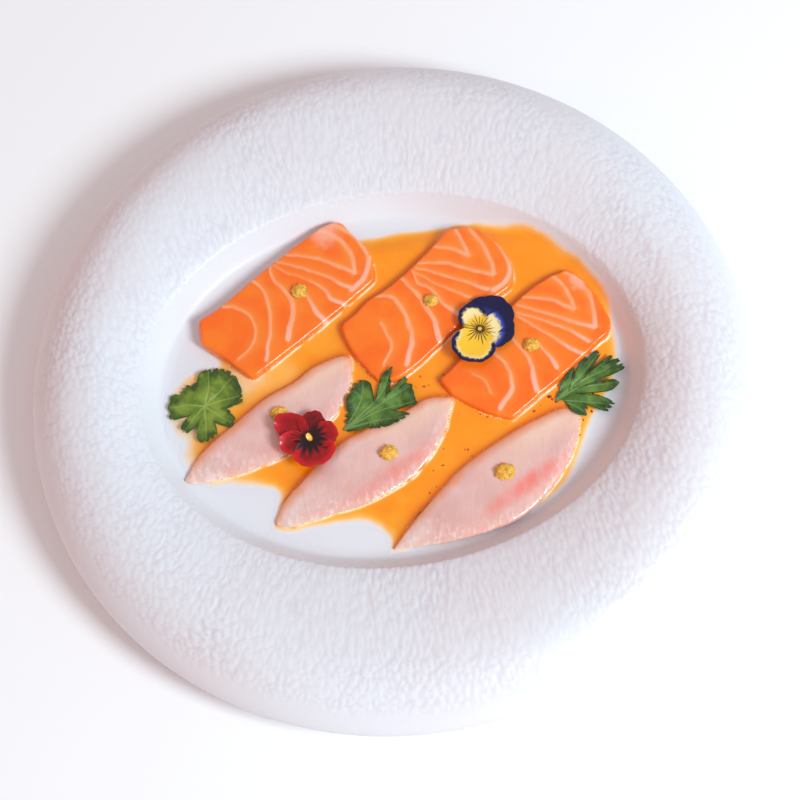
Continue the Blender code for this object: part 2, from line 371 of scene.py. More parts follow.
@dataclass
class Outline:
    """Closed edge seen from above, drawn from corners.

    Each corner is (x, y, rounding) in millimetres, anticlockwise. Every ray from the middle crosses
    the edge once.
    """

    corners: Sequence[tuple[float, float, float]]
    middle_at: Optional[tuple[float, float]] = None
    wander: float = 0.0
    spacing: float = 0.30 * MM

    def __post_init__(self) -> None:
        """Rounds the corners and samples the edge evenly."""
        places = [np.array(corner[:2]) * MM for corner in self.corners]
        path = []
        for k, (place, corner) in enumerate(zip(places, self.corners)):
            before = places[k - 1] - place
            after = places[(k + 1) % len(places)] - place
            back = min(corner[2] * MM, 0.49 * np.hypot(*before))
            ahead = min(corner[2] * MM, 0.49 * np.hypot(*after))
            start = place + before / np.hypot(*before) * back
            end = place + after / np.hypot(*after) * ahead
            for share in np.linspace(0.0, 1.0, CORNER_STEPS):
                path.append((1 - share) ** 2 * start + 2 * share * (1 - share) * place + share ** 2 * end)
        closed = np.vstack([path, path[:1]])
        walked = np.concatenate([[0.0], np.cumsum(np.hypot(*np.diff(closed, axis=0).T))])
        even = np.linspace(0.0, walked[-1], int(walked[-1] / self.spacing), endpoint=False)
        self.edge = np.stack([np.interp(even, walked, closed[:, k]) for k in range(2)], axis=1)
        low, high = self.edge.min(axis=0), self.edge.max(axis=0)
        self.middle = (low + high) / 2 if self.middle_at is None else np.array(self.middle_at) * MM
        away = self.edge - self.middle
        if self.wander:
            flat = np.column_stack([self.edge, np.zeros(len(self.edge))])
            grown = 1 + self.wander * waves(flat, 0.006, 3.0, 2) / np.hypot(*away.T).mean()
            away = away * grown[:, None]
            self.edge = self.middle + away
        turns = np.arctan2(away[:, 1], away[:, 0])
        order = np.argsort(turns)
        turns = turns[order]
        self.turns = np.concatenate([turns[-1:] - math.tau, turns, turns[:1] + math.tau])
        reaches = np.hypot(away[:, 0], away[:, 1])[order]
        self.reaches = np.concatenate([reaches[-1:], reaches, reaches[:1]])

    def reach(self, angles: np.ndarray) -> np.ndarray:
        """Distance from the middle to the edge in each direction, in radians."""
        return np.interp(angles, self.turns, self.reaches)

    def inside(self, points: np.ndarray) -> np.ndarray:
        """How far inside the edge each place lies along its own direction; negative outside."""
        away = points[:, :2] - self.middle
        return self.reach(np.arctan2(away[:, 1], away[:, 0])) - np.hypot(away[:, 0], away[:, 1])

    def spread(self, disc: np.ndarray) -> np.ndarray:
        """Carries points of the unit disc into the outline.

        Args:
            disc: Points of the disc, one row each.

        Returns:
            The same points inside the edge.
        """
        share = np.hypot(disc[:, 0], disc[:, 1])
        reach = self.reach(np.arctan2(disc[:, 1], disc[:, 0]))
        return self.middle + disc / np.maximum(share, 1e-9)[:, None] * (share * reach)[:, None]

    def signed(self, points: np.ndarray) -> np.ndarray:
        """Distance to the nearest point of the edge, negative outside."""
        gap, _ = nearest_edge(points, [self])
        return np.where(self.inside(points) > 0, gap, -gap)


def nearest_edge(points: np.ndarray, outlines: Sequence[Outline]) -> tuple[np.ndarray, np.ndarray]:
    """Finds the nearest edge of some outlines.

    Args:
        points: Places, of which x and y are read.
        outlines: Outlines whose edges count.

    Returns:
        The distance for each place, and the unit direction from the edge to the place.
    """
    places = np.concatenate([outline.edge for outline in outlines])
    tree = kdtree.KDTree(len(places))
    for k, place in enumerate(places):
        tree.insert(Vector((place[0], place[1], 0.0)), k)
    tree.balance()
    found = [tree.find(Vector((point[0], point[1], 0.0))) for point in points]
    gaps = np.array([hit[2] for hit in found])
    away = points[:, :2] - places[[hit[1] for hit in found]]
    return gaps, away / np.maximum(gaps, 1e-9)[:, None]


def line_distance(places: np.ndarray, path: np.ndarray) -> tuple[np.ndarray, np.ndarray, np.ndarray]:
    """Measures places against a bent line.

    Args:
        places: Places, one row each.
        path: Points of the line.

    Returns:
        The distance to the line, the share of the line walked at the nearest spot, and the side
        that the place is on, 1 or -1.
    """
    best = np.full(len(places), np.inf)
    walked = np.zeros(len(places))
    side = np.ones(len(places))
    for k, (start, end) in enumerate(zip(path, path[1:])):
        run = end - start
        away = places - start
        share = np.clip(away @ run / max(run @ run, 1e-18), 0.0, 1.0)
        gap = np.hypot(*(away - share[:, None] * run).T)
        nearer = gap < best
        best = np.where(nearer, gap, best)
        walked = np.where(nearer, (k + share) / (len(path) - 1), walked)
        side = np.where(nearer, np.sign(run[0] * away[:, 1] - run[1] * away[:, 0]), side)
    return best, walked, side


def curve_through(stops: Sequence[Sequence[float]], steps: int) -> np.ndarray:
    """Smooth curve through its stops.

    Args:
        stops: Points that the curve passes.
        steps: Points on each stretch between two stops.

    Returns:
        The curve's points.
    """
    places = np.array(stops, dtype=float)
    padded = np.vstack([2 * places[0] - places[1], places, 2 * places[-1] - places[-2]])
    share = np.linspace(0.0, 1.0, steps, endpoint=False)[:, None]
    stretches = []
    for before, start, end, after in zip(padded, padded[1:], padded[2:], padded[3:]):
        stretches.append(0.5 * (
            2 * start + (end - before) * share
            + (2 * before - 5 * start + 4 * end - after) * share ** 2
            + (3 * start - before - 3 * end + after) * share ** 3
        ))
    return np.vstack([*stretches, places[-1:]])


# ---------------------------------------------------------------- finishes


@dataclass
class Shader:
    """Node material under construction."""

    name: str

    def __post_init__(self) -> None:
        """Makes the material and keeps its main shader at hand."""
        self.material = bpy.data.materials.new(self.name)
        self.material.use_nodes = True
        self.tree = self.material.node_tree
        self.surface = self.tree.nodes["Principled BSDF"]

    def node(self, kind: str, inputs: Optional[dict] = None, **settings: object) -> bpy.types.Node:
        """Adds a node.

        Args:
            kind: Blender's name for the node type.
            inputs: Socket names or numbers, each with a value or the socket that feeds it.
            settings: Properties of the node.

        Returns:
            The new node.
        """
        made = self.tree.nodes.new(kind)
        for key, value in settings.items():
            setattr(made, key, value)
        for key, value in (inputs or {}).items():
            self.feed(made.inputs[key], value)
        return made

    def feed(self, socket: bpy.types.NodeSocket, value: object) -> None:
        """Sets a socket, or links it if the value is another socket.

        Args:
            socket: The socket to feed.
            value: A number, a colour or another socket.
        """
        if isinstance(value, bpy.types.NodeSocket):
            self.tree.links.new(value, socket)
        elif isinstance(value, tuple) and len(value) == 3 and socket.type == "RGBA":
            socket.default_value = (*value, 1.0)
        else:
            socket.default_value = value

    def main(self, **values: object) -> None:
        """Sets sockets of the main shader; an underscore stands for a space."""
        for key, value in values.items():
            self.feed(self.surface.inputs[key.replace("_", " ")], value)

    def place(self, scale: Sequence[float] = (1.0, 1.0, 1.0)) -> bpy.types.NodeSocket:
        """Object coordinates, scaled.

        Args:
            scale: Stretch along each axis.

        Returns:
            The socket of the scaled coordinates.
        """
        source = self.node("ShaderNodeTexCoord")
        mapped = self.node("ShaderNodeMapping", {"Vector": source.outputs["Object"], "Scale": tuple(scale)})
        return mapped.outputs["Vector"]

    def value(self, name: str) -> bpy.types.NodeSocket:
        """A number kept on the mesh."""
        return self.node("ShaderNodeAttribute", attribute_name=name).outputs["Fac"]

    def grain(
        self, scale: float, detail: float = 3.0, stretch: Sequence[float] = (1.0, 1.0, 1.0)
    ) -> bpy.types.NodeSocket:
        """Soft noise about one half.

        Args:
            scale: Waves a metre.
            detail: Layers of finer waves.
            stretch: Scale along each axis, below 1 for longer waves.

        Returns:
            The socket of the noise.
        """
        inputs = {"Vector": self.place(stretch), "Scale": scale, "Detail": detail, "Roughness": 0.55}
        return self.node("ShaderNodeTexNoise", inputs).outputs["Fac"]

    def cell_walls(self, scale: float) -> bpy.types.NodeSocket:
        """Distance to the walls of a pattern with this many cells a metre."""
        inputs = {"Vector": self.place(), "Scale": scale}
        return self.node("ShaderNodeTexVoronoi", inputs, feature="DISTANCE_TO_EDGE").outputs["Distance"]

    def fit(
        self, value: bpy.types.NodeSocket, low: float, high: float, start: float = 0.0, end: float = 1.0
    ) -> bpy.types.NodeSocket:
        """Maps a number smoothly from one range to another, held at its ends.

        Args:
            value: The number's socket.
            low: Value that gives the start.
            high: Value that gives the end.
            start: Result for the low value.
            end: Result for the high value.

        Returns:
            The socket of the result.
        """
        made = self.node(
            "ShaderNodeMapRange",
            {"Value": value, "From Min": low, "From Max": high, "To Min": start, "To Max": end},
            interpolation_type="SMOOTHSTEP",
        )
        return made.outputs["Result"]

    def blend(self, share: object, first: object, second: object) -> bpy.types.NodeSocket:
        """Mixes two colours: the first at a share of 0, the second at 1."""
        return self.node("ShaderNodeMix", {0: share, 6: first, 7: second}, data_type="RGBA").outputs[2]

    def times(self, first: object, second: object) -> bpy.types.NodeSocket:
        """One number times another."""
        return self.join("MULTIPLY", first, second)

    def plus(self, first: object, second: object) -> bpy.types.NodeSocket:
        """One number plus another."""
        return self.join("ADD", first, second)

    def join(self, operation: str, first: object, second: object) -> bpy.types.NodeSocket:
        """Joins two numbers by an operation of the Math node."""
        return self.node("ShaderNodeMath", {0: first, 1: second}, operation=operation).outputs["Value"]

    def bump(self, height: bpy.types.NodeSocket, depth: float) -> bpy.types.NodeSocket:
        """Relief in the normals, depth in metres for a height of 1."""
        return self.node("ShaderNodeBump", {"Height": height, "Distance": depth}).outputs["Normal"]


@dataclass(frozen=True)
class GlazeFinish:
    """White satin glaze over a grained rim and a smooth well."""

    body: Colour = shade(227, 226, 231)
    warm: Colour = shade(227, 221, 225)
    # painted shade: the darker colour laid into the grain's creases
    crease_shade: Colour = shade(205, 196, 206)

    def material(self) -> bpy.types.Material:
        """Glaze with faint clouding, painted shade in the grain's creases and fine wrinkles where the grain
        is.

        Returns:
            The material.
        """
        made = Shader("white_glaze")
        clouds = made.fit(made.grain(14.0, 3.0), 0.35, 0.7)
        colour = made.blend(clouds, self.body, self.warm)
        # painted shade darkens the colour along the grain's creases
        colour = made.blend(made.times(made.value("crease_shade"), 0.45), colour, self.crease_shade)
        wrinkle = made.grain(760.0, 2.0, (1.0, 0.5, 1.0))
        rough = made.fit(made.grain(60.0, 2.0), 0.2, 0.8, 0.36, 0.46)
        fine = made.times(wrinkle, made.value("grained"))
        made.main(
            Base_Color=colour, Roughness=rough, Normal=made.bump(fine, 0.00005), Coat_Weight=0.06,
            Coat_Roughness=0.28, Specular_IOR_Level=0.32,
        )
        return made.material


@dataclass(frozen=True)
class SalmonFinish:
    """Raw salmon: orange flesh with pale fat lines under a wet film."""

    flesh: Colour = shade(255, 124, 24)
    deep: Colour = shade(254, 108, 14)
    soft: Colour = shade(254, 146, 62)
    fat: Colour = shade(254, 170, 126)
    pale: Colour = shade(254, 184, 160)

    def material(self) -> bpy.types.Material:
        """Flesh from the stored fat lines, with fine fibres and a moist surface.

        Returns:
            The material.
        """
        made = Shader("salmon_flesh")
        cloud = made.fit(made.grain(70.0, 2.0), 0.36, 0.64)
        colour = made.blend(cloud, self.deep, self.flesh)
        colour = made.blend(made.times(made.value("soft"), 0.95), colour, self.soft)
        fibre = made.fit(made.grain(520.0, 3.0, (1.0, 0.5, 1.0)), 0.30, 0.75)
        broken = made.times(made.value("fat"), made.fit(fibre, 0.0, 1.0, 0.70, 1.0))
        colour = made.blend(broken, colour, self.fat)
        colour = made.blend(made.value("pale"), colour, self.pale)
        height = made.plus(made.times(fibre, 0.4), made.times(made.value("fat"), 0.5))
        made.main(
            Base_Color=colour, Roughness=0.30, Normal=made.bump(height, 0.00008),
            Subsurface_Weight=0.10, Subsurface_Scale=0.0015, Coat_Weight=0.6, Coat_Roughness=0.07,
            Coat_IOR=1.40, Specular_IOR_Level=0.35,
        )
        made.surface.inputs["Subsurface Radius"].default_value = (1.0, 0.4, 0.15)
        return made.material


@dataclass(frozen=True)
class WhiteFishFinish:
    """Raw white fish: pinkish and half clear, with rosy streaks and a wet film."""

    flesh: Colour = shade(228, 175, 165)
    milky: Colour = shade(234, 194, 187)
    cream: Colour = shade(240, 200, 178)
    clear: Colour = shade(240, 150, 96)
    pale: Colour = shade(232, 208, 200)
    rose: Colour = shade(246, 116, 100)
    # painted highlight: colour of the glints painted on the ripple crests
    painted_highlight: Colour = shade(250, 228, 226)
    grey: Colour = shade(216, 168, 160)

    def material(self) -> bpy.types.Material:
        """Flesh that is milky in the middle, tinted by the sauce at thin edges, rosy along one side and with
        painted highlights on its ripple crests.

        Returns:
            The material.
        """
        made = Shader("white_fish_flesh")
        cloud = made.fit(made.grain(75.0, 3.0), 0.3, 0.7)
        colour = made.blend(cloud, self.flesh, self.milky)
        sheer = made.times(made.fit(made.grain(42.0, 2.0, (1.0, 1.6, 1.0)), 0.42, 0.66), 0.55)
        colour = made.blend(sheer, colour, self.grey)
        colour = made.blend(made.value("creamy"), colour, self.cream)
        colour = made.blend(made.times(made.value("ending"), 0.8), colour, self.pale)
        colour = made.blend(made.times(made.value("thin"), 0.85), colour, self.clear)
        colour = made.blend(made.value("rosy"), colour, self.rose)
        streak = made.fit(made.grain(380.0, 4.0, (1.0, 0.4, 1.0)), 0.3, 0.75)
        # painted highlight: glints painted onto the ripple crests
        colour = made.blend(made.times(made.value("ripples_and_glint"), 0.50), colour, self.painted_highlight)
        colour = made.blend(made.times(streak, 0.15), colour, self.milky)
        made.main(
            Base_Color=colour, Roughness=0.26, Normal=made.bump(streak, 0.00008),
            Subsurface_Weight=0.25, Subsurface_Scale=0.002, Coat_Weight=0.8, Coat_Roughness=0.05,
            Coat_IOR=1.40, Specular_IOR_Level=0.4,
        )
        made.surface.inputs["Subsurface Radius"].default_value = (1.0, 0.55, 0.45)
        return made.material


@dataclass(frozen=True)
class SauceFinish:
    """Thin orange sauce that fades to the white glaze where it runs out."""

    deep: Colour = shade(255, 146, 14)
    middle: Colour = shade(255, 160, 32)
    pale: Colour = shade(255, 182, 82)
    faint: Colour = shade(244, 214, 180)
    bare: Colour = shade(228, 226, 231)
    # painted shadow: the dark brown where the sauce meets a slice's far side
    brown: Colour = shade(208, 82, 14)
    # painted highlight: the cream line along the slices' near edges
    cream: Colour = shade(255, 236, 200)

    def material(self) -> bpy.types.Material:
        """Sauce coloured by its stored depth, with painted shadow where it stands against a slice's far side
        and a painted highlight along a slice's near side.

        Returns:
            The material.
        """
        made = Shader("orange_sauce")
        cloud = made.times(made.join("SUBTRACT", made.grain(85.0, 4.0), 0.5), 0.85)
        depth = made.plus(made.value("depth"), made.times(cloud, made.value("depth")))
        colour = made.blend(made.fit(depth, 0.0, 0.14), self.bare, self.faint)
        colour = made.blend(made.fit(depth, 0.08, 0.38), colour, self.pale)
        colour = made.blend(made.fit(depth, 0.32, 0.72), colour, self.middle)
        colour = made.blend(made.fit(depth, 0.70, 1.10), colour, self.deep)
        # painted shadow where the sauce meets a slice's far side
        colour = made.blend(made.times(made.value("contact_shadow"), 0.85), colour, self.brown)
        # painted highlight along the slices' near edges
        colour = made.blend(made.value("painted_highlight"), colour, self.cream)
        made.main(
            Base_Color=colour, Roughness=0.20, Normal=made.bump(made.grain(160.0, 2.0), 0.00005),
            Coat_Weight=0.5, Coat_Roughness=0.04, Coat_IOR=1.4, Specular_IOR_Level=0.35,
        )
        return made.material


@dataclass(frozen=True)
class LeafFinish:
    """Fresh coriander: green blade, paler veins, darker rim."""

    name: str = "coriander_leaf"
    blade: Colour = shade(88, 116, 22)
    light: Colour = shade(130, 152, 48)
    dark: Colour = shade(38, 72, 8)
    vein: Colour = shade(166, 184, 92)

    def material(self) -> bpy.types.Material:
        """Leaf green that varies over the blade, with stored veins.

        Returns:
            The material.
        """
        made = Shader(self.name)
        patch = made.fit(made.grain(150.0, 3.0), 0.36, 0.64)
        colour = made.blend(patch, self.blade, self.light)
        colour = made.blend(made.times(made.value("rim"), 0.9), colour, self.dark)
        colour = made.blend(made.times(made.value("vein"), 0.6), colour, self.vein)
        fine = made.cell_walls(1500.0)
        height = made.plus(made.fit(fine, 0.0, 0.25), made.times(made.value("vein"), -2.0))
        made.main(
            Base_Color=colour, Roughness=0.40, Normal=made.bump(height, 0.00005), Sheen_Weight=0.10,
            Sheen_Roughness=0.4, Coat_Weight=0.25, Coat_Roughness=0.22, Specular_IOR_Level=0.4,
        )
        return made.material


@dataclass(frozen=True)
class PetalFinish:
    """Velvety viola petal: a face colour, an outer colour, a dark mark and a rim."""

    name: str
    face: Colour
    cream: Colour
    outer: Colour
    mark: Colour
    glow: Colour

    def material(self) -> bpy.types.Material:
        """Petal painted by its stored face, cream, mark and glow shares.

        Returns:
            The material.
        """
        made = Shader(self.name)
        soft = made.fit(made.grain(260.0, 4.0), 0.3, 0.7)
        outer = made.blend(made.times(soft, 0.35), self.outer, self.mark)
        colour = made.blend(made.value("glow"), outer, self.glow)
        colour = made.blend(made.value("cream"), colour, self.cream)
        colour = made.blend(made.value("face"), colour, self.face)
        colour = made.blend(made.value("mark"), colour, self.mark)
        rib = made.grain(1500.0, 3.0)
        made.main(
            Base_Color=colour, Roughness=0.38, Normal=made.bump(rib, 0.00005), Sheen_Weight=0.03,
            Sheen_Roughness=0.35, Coat_Weight=0.35, Coat_Roughness=0.16, Specular_IOR_Level=0.3,
        )
        return made.material


@dataclass(frozen=True)
class PasteFinish:
    """Grainy yellow citrus paste."""

    body: Colour = shade(226, 160, 44)
    light: Colour = shade(242, 186, 70)
    olive: Colour = shade(176, 140, 30)

    def material(self) -> bpy.types.Material:
        """Paste with fine green-gold grains.

        Returns:
            The material.
        """
        made = Shader("citrus_paste")
        grains = made.grain(700.0, 4.0)
        colour = made.blend(made.fit(grains, 0.35, 0.65), self.body, self.light)
        colour = made.blend(made.fit(made.grain(420.0, 3.0), 0.52, 0.70), colour, self.olive)
        made.main(
            Base_Color=colour, Roughness=0.38, Normal=made.bump(grains, 0.00035), Subsurface_Weight=0.1,
            Subsurface_Scale=0.001, Coat_Weight=0.25, Coat_Roughness=0.2,
        )
        return made.material


@dataclass(frozen=True)
class SpeckFinish:
    """Small seasoning specks."""

    name: str
    body: Colour
    dark: Colour

    def material(self) -> bpy.types.Material:
        """Speck colour that varies from speck to speck.

        Returns:
            The material.
        """
        made = Shader(self.name)
        colour = made.blend(made.fit(made.grain(300.0, 2.0), 0.35, 0.65), self.body, self.dark)
        made.main(Base_Color=colour, Roughness=0.4, Normal=made.bump(made.grain(3000.0, 2.0), 0.00004))
        return made.material


# ---------------------------------------------------------------- plate


@dataclass
class Plate:
    """Round plate with a thick grained rim and an oval well.

    Stations run from the floor's middle, over the rim, to the underside's middle. Each holds the
    half length, the half width and the height of one ring.
    """

    radius: float
    height: float
    well_length: float = 0.0983
    well_width: float = 0.0791
    crest: float = 0.1165
    floor: float = 0.0110
    segments: int = 1152
    grain_step: float = 0.00074
    plain_step: float = 0.0036
    cell: float = 0.0024
    cell_stretch: float = 2.1
    crease_depth: float = 0.00032
    crease_width: float = 0.12
    pillow: float = 0.00010
    warp: float = 0.0007
    warps_per_metre: float = 260.0
    patches_per_metre: float = 90.0
    merge: float = 0.00001

    def stations(self) -> np.ndarray:
        """Rings of the plate's section.

        Returns:
            One row for each ring.
        """
        def wall(inset: float, height: float) -> tuple[float, float, float]:
            """Ring inside the well's edge."""
            return self.well_length - inset, self.well_width - inset, height

        def slope(share: float, height: float) -> tuple[float, float, float]:
            """Ring between the crest circle and the well's edge."""
            length = self.crest + share * (self.well_length - self.crest)
            width = self.crest + share * (self.well_width - self.crest)
            return length, width, height

        def turn(radius: float, height: float) -> tuple[float, float, float]:
            """Round ring."""
            return radius, radius, height

        top = self.height
        side = self.radius
        return np.array([
            (0.0, 0.0, self.floor), wall(0.030, self.floor), wall(0.0112, self.floor), wall(0.0080, 0.0115),
            wall(0.0060, 0.0130), wall(0.0035, 0.0162), wall(0.0013, 0.0194), slope(1.0, 0.0208),
            slope(0.85, 0.0228), slope(0.60, 0.0252), slope(0.30, 0.0272), turn(self.crest, top),
            turn(side - 0.0155, 0.0271), turn(side - 0.0090, 0.0243), turn(side - 0.0038, 0.0201),
            turn(side - 0.0009, 0.0161), turn(side, 0.0125), turn(side - 0.0009, 0.0096),
            turn(side - 0.0040, 0.0063), turn(side - 0.0095, 0.0034), turn(side - 0.0170, 0.0023),
            turn(0.0925, 0.0025), turn(0.0895, 0.0018), turn(0.0880, 0.0), turn(0.0790, 0.0),
            turn(0.0768, 0.0026), turn(0.0740, 0.0030), turn(0.0, 0.0030),
        ])

    def rings(self) -> np.ndarray:
        """Even rings along the smooth section, closer together where the grain is.

        Returns:
            One row for each ring, from the middle of the floor to the middle of the base.
        """
        path = curve_through(self.stations(), 40)
        path[:, 2] = np.clip(path[:, 2], 0.0, self.height)
        steps = np.linalg.norm(np.diff(path[:, [0, 2]], axis=0), axis=1)
        grained = (path[1:, 0] > self.well_length - 0.008) & (path[1:, 2] > 0.0118)
        wanted = np.where(grained, self.grain_step, self.plain_step)
        walked = np.concatenate([[0.0], np.cumsum(steps / wanted)])
        even = np.linspace(0.0, walked[-1], int(walked[-1]) + 1)
        return np.stack([np.interp(even, walked, path[:, k]) for k in range(3)], axis=1)

    def section(self, rings: np.ndarray) -> bpy.types.Object:
        """Lays the rings' places out as one open line on the plate's right side.

        Args:
            rings: Rings of the plate.

        Returns:
            The line.
        """
        deselect_all()
        bpy.ops.mesh.primitive_circle_add(vertices=len(rings), radius=self.radius, fill_type="NOTHING")
        piece = bpy.context.object
        piece.name = piece.data.name = "grained_plate"
        place_points(piece, np.stack([rings[:, 0], np.zeros(len(rings)), rings[:, 2]], axis=1))
        closing = {0, len(rings) - 1}
        choose(piece, Element.EDGES, np.array([set(edge.vertices) == closing for edge in piece.data.edges]))
        bpy.ops.mesh.delete(type="EDGE")
        bpy.ops.mesh.select_mode(type=Element.CORNERS.value)
        leave_edit()
        return piece

    def turned(self) -> bpy.types.Object:
        """Spins the section round, then draws the well's rings in to ovals.

        Returns:
            The plain plate.
        """
        rings = self.rings()
        piece = self.section(rings)
        turn = piece.modifiers.new("turn", "SCREW")
        turn.steps = self.segments
        turn.render_steps = self.segments
        turn.use_merge_vertices = True
        turn.merge_threshold = self.merge
        bpy.ops.object.modifier_apply(modifier=turn.name)
        enter_edit(piece)
        bpy.ops.mesh.remove_doubles(threshold=self.merge)
        bpy.ops.mesh.normals_make_consistent(inside=False)
        leave_edit()
        points = points_of(piece)
        reach = np.hypot(points[:, 0], points[:, 1])
        gap = (reach[:, None] - rings[None, :, 0]) ** 2 + (points[:, 2][:, None] - rings[None, :, 2]) ** 2
        nearest = rings[np.argmin(gap, axis=1)]
        with np.errstate(divide="ignore", invalid="ignore"):
            squeeze = np.where(nearest[:, 0] > MM, nearest[:, 1] / nearest[:, 0], 1.0)
        points[:, 1] *= squeeze
        place_points(piece, points)
        return piece

    def grained_share(self, points: np.ndarray) -> np.ndarray:
        """How strongly each place is grained: the rim, from the well's edge to low on the outer side.

        Args:
            points: Places, one row each.

        Returns:
            A share for each place.
        """
        oval = np.hypot(points[:, 0] / self.well_length, points[:, 1] / self.well_width)
        outward = smooth_step(0.955, 1.015, oval)
        reach = np.hypot(points[:, 0], points[:, 1])
        outer = 1.0 - smooth_step(self.radius - 0.0085, self.radius - 0.0022, reach)
        worn = 0.78 - 0.34 * waves(points, 0.045, 31.0)
        return outward * outer * smooth_step(0.012, 0.016, points[:, 2]) * worn

    def emboss(self, piece: bpy.types.Object) -> None:
        """Presses the leather grain into the rim, never proud of the plate's own size.

        Args:
            piece: The plain plate, which keeps a crease mask for the glaze's painted shade.
        """
        points = points_of(piece)
        share = self.grained_share(points)
        normals = vertex_normals(piece)
        relief = np.zeros(len(points))
        crease_shade = np.zeros(len(points))
        for k in np.flatnonzero(share > 0.001):
            spot = Vector(points[k])
            bent = spot + noise.noise_vector(spot * self.warps_per_metre) * self.warp
            cell = Vector((bent.x / self.cell, bent.y / (self.cell * self.cell_stretch), bent.z / self.cell))
            near, second = noise.voronoi(cell)[0][:2]
            line = math.exp(-((second - near) / self.crease_width) ** 2)
            patchy = 0.75 + 0.5 * noise.noise(spot * self.patches_per_metre)
            crease_shade[k] = line * patchy
            relief[k] = -(self.crease_depth * line * patchy + self.pillow * min(near, 1.0))
        place_points(piece, points + normals * (relief * share)[:, None])
        # the crease mask carries painted shade for the glaze
        store_values(piece, "crease_shade", crease_shade * share)
        store_values(piece, "grained", share)

    def split(self, piece: bpy.types.Object) -> list[bpy.types.Object]:
        """Cuts the plate at its crest into two pieces that keep one smooth surface.

        Args:
            piece: The grained plate.

        Returns:
            The inner and the outer piece.
        """
        kept = piece.data.attributes.new("kept_normal", "FLOAT_VECTOR", "POINT")
        kept.data.foreach_set("vector", vertex_normals(piece).astype(np.float32).ravel())
        centres = np.empty(len(piece.data.polygons) * 3)
        piece.data.polygons.foreach_get("center", centres)
        centres = centres.reshape(-1, 3)
        under = centres[:, 2] < self.floor - 2.0 * MM
        choose(piece, Element.FACES, (np.hypot(centres[:, 0], centres[:, 1]) > self.crest) | under)
        bpy.ops.mesh.separate(type="SELECTED")
        leave_edit()
        rim = [other for other in bpy.context.selected_objects if other is not piece][0]
        rim.name = rim.data.name = "plate_outer_rim"
        for part in (piece, rim):
            self.keep_normals(part)
        return [piece, rim]

    def keep_normals(self, part: bpy.types.Object) -> None:
        """Shades a part smooth by the normals that the whole plate had.

        Args:
            part: One part of the cut plate.
        """
        deselect_all()
        part.select_set(True)
        bpy.context.view_layer.objects.active = part
        bpy.ops.object.shade_smooth()
        normals = np.empty(len(part.data.vertices) * 3, dtype=np.float32)
        part.data.attributes["kept_normal"].data.foreach_get("vector", normals)
        part.data.normals_split_custom_set_from_vertices(normals.reshape(-1, 3).tolist())
        part.data.attributes.remove(part.data.attributes["kept_normal"])

    def build(self, finish: GlazeFinish, ground: Ground) -> None:
        """Makes, grains, cuts and dresses the plate.

        Args:
            finish: Its glaze.
            ground: Surfaces to lie on, which the plate joins.
        """
        piece = self.turned()
        ground.add(piece)
        self.emboss(piece)
        glaze = finish.material()
        for part in self.split(piece):
            hand_over(part, "plate_glaze", "plate", glaze)


# ---------------------------------------------------------------- fish


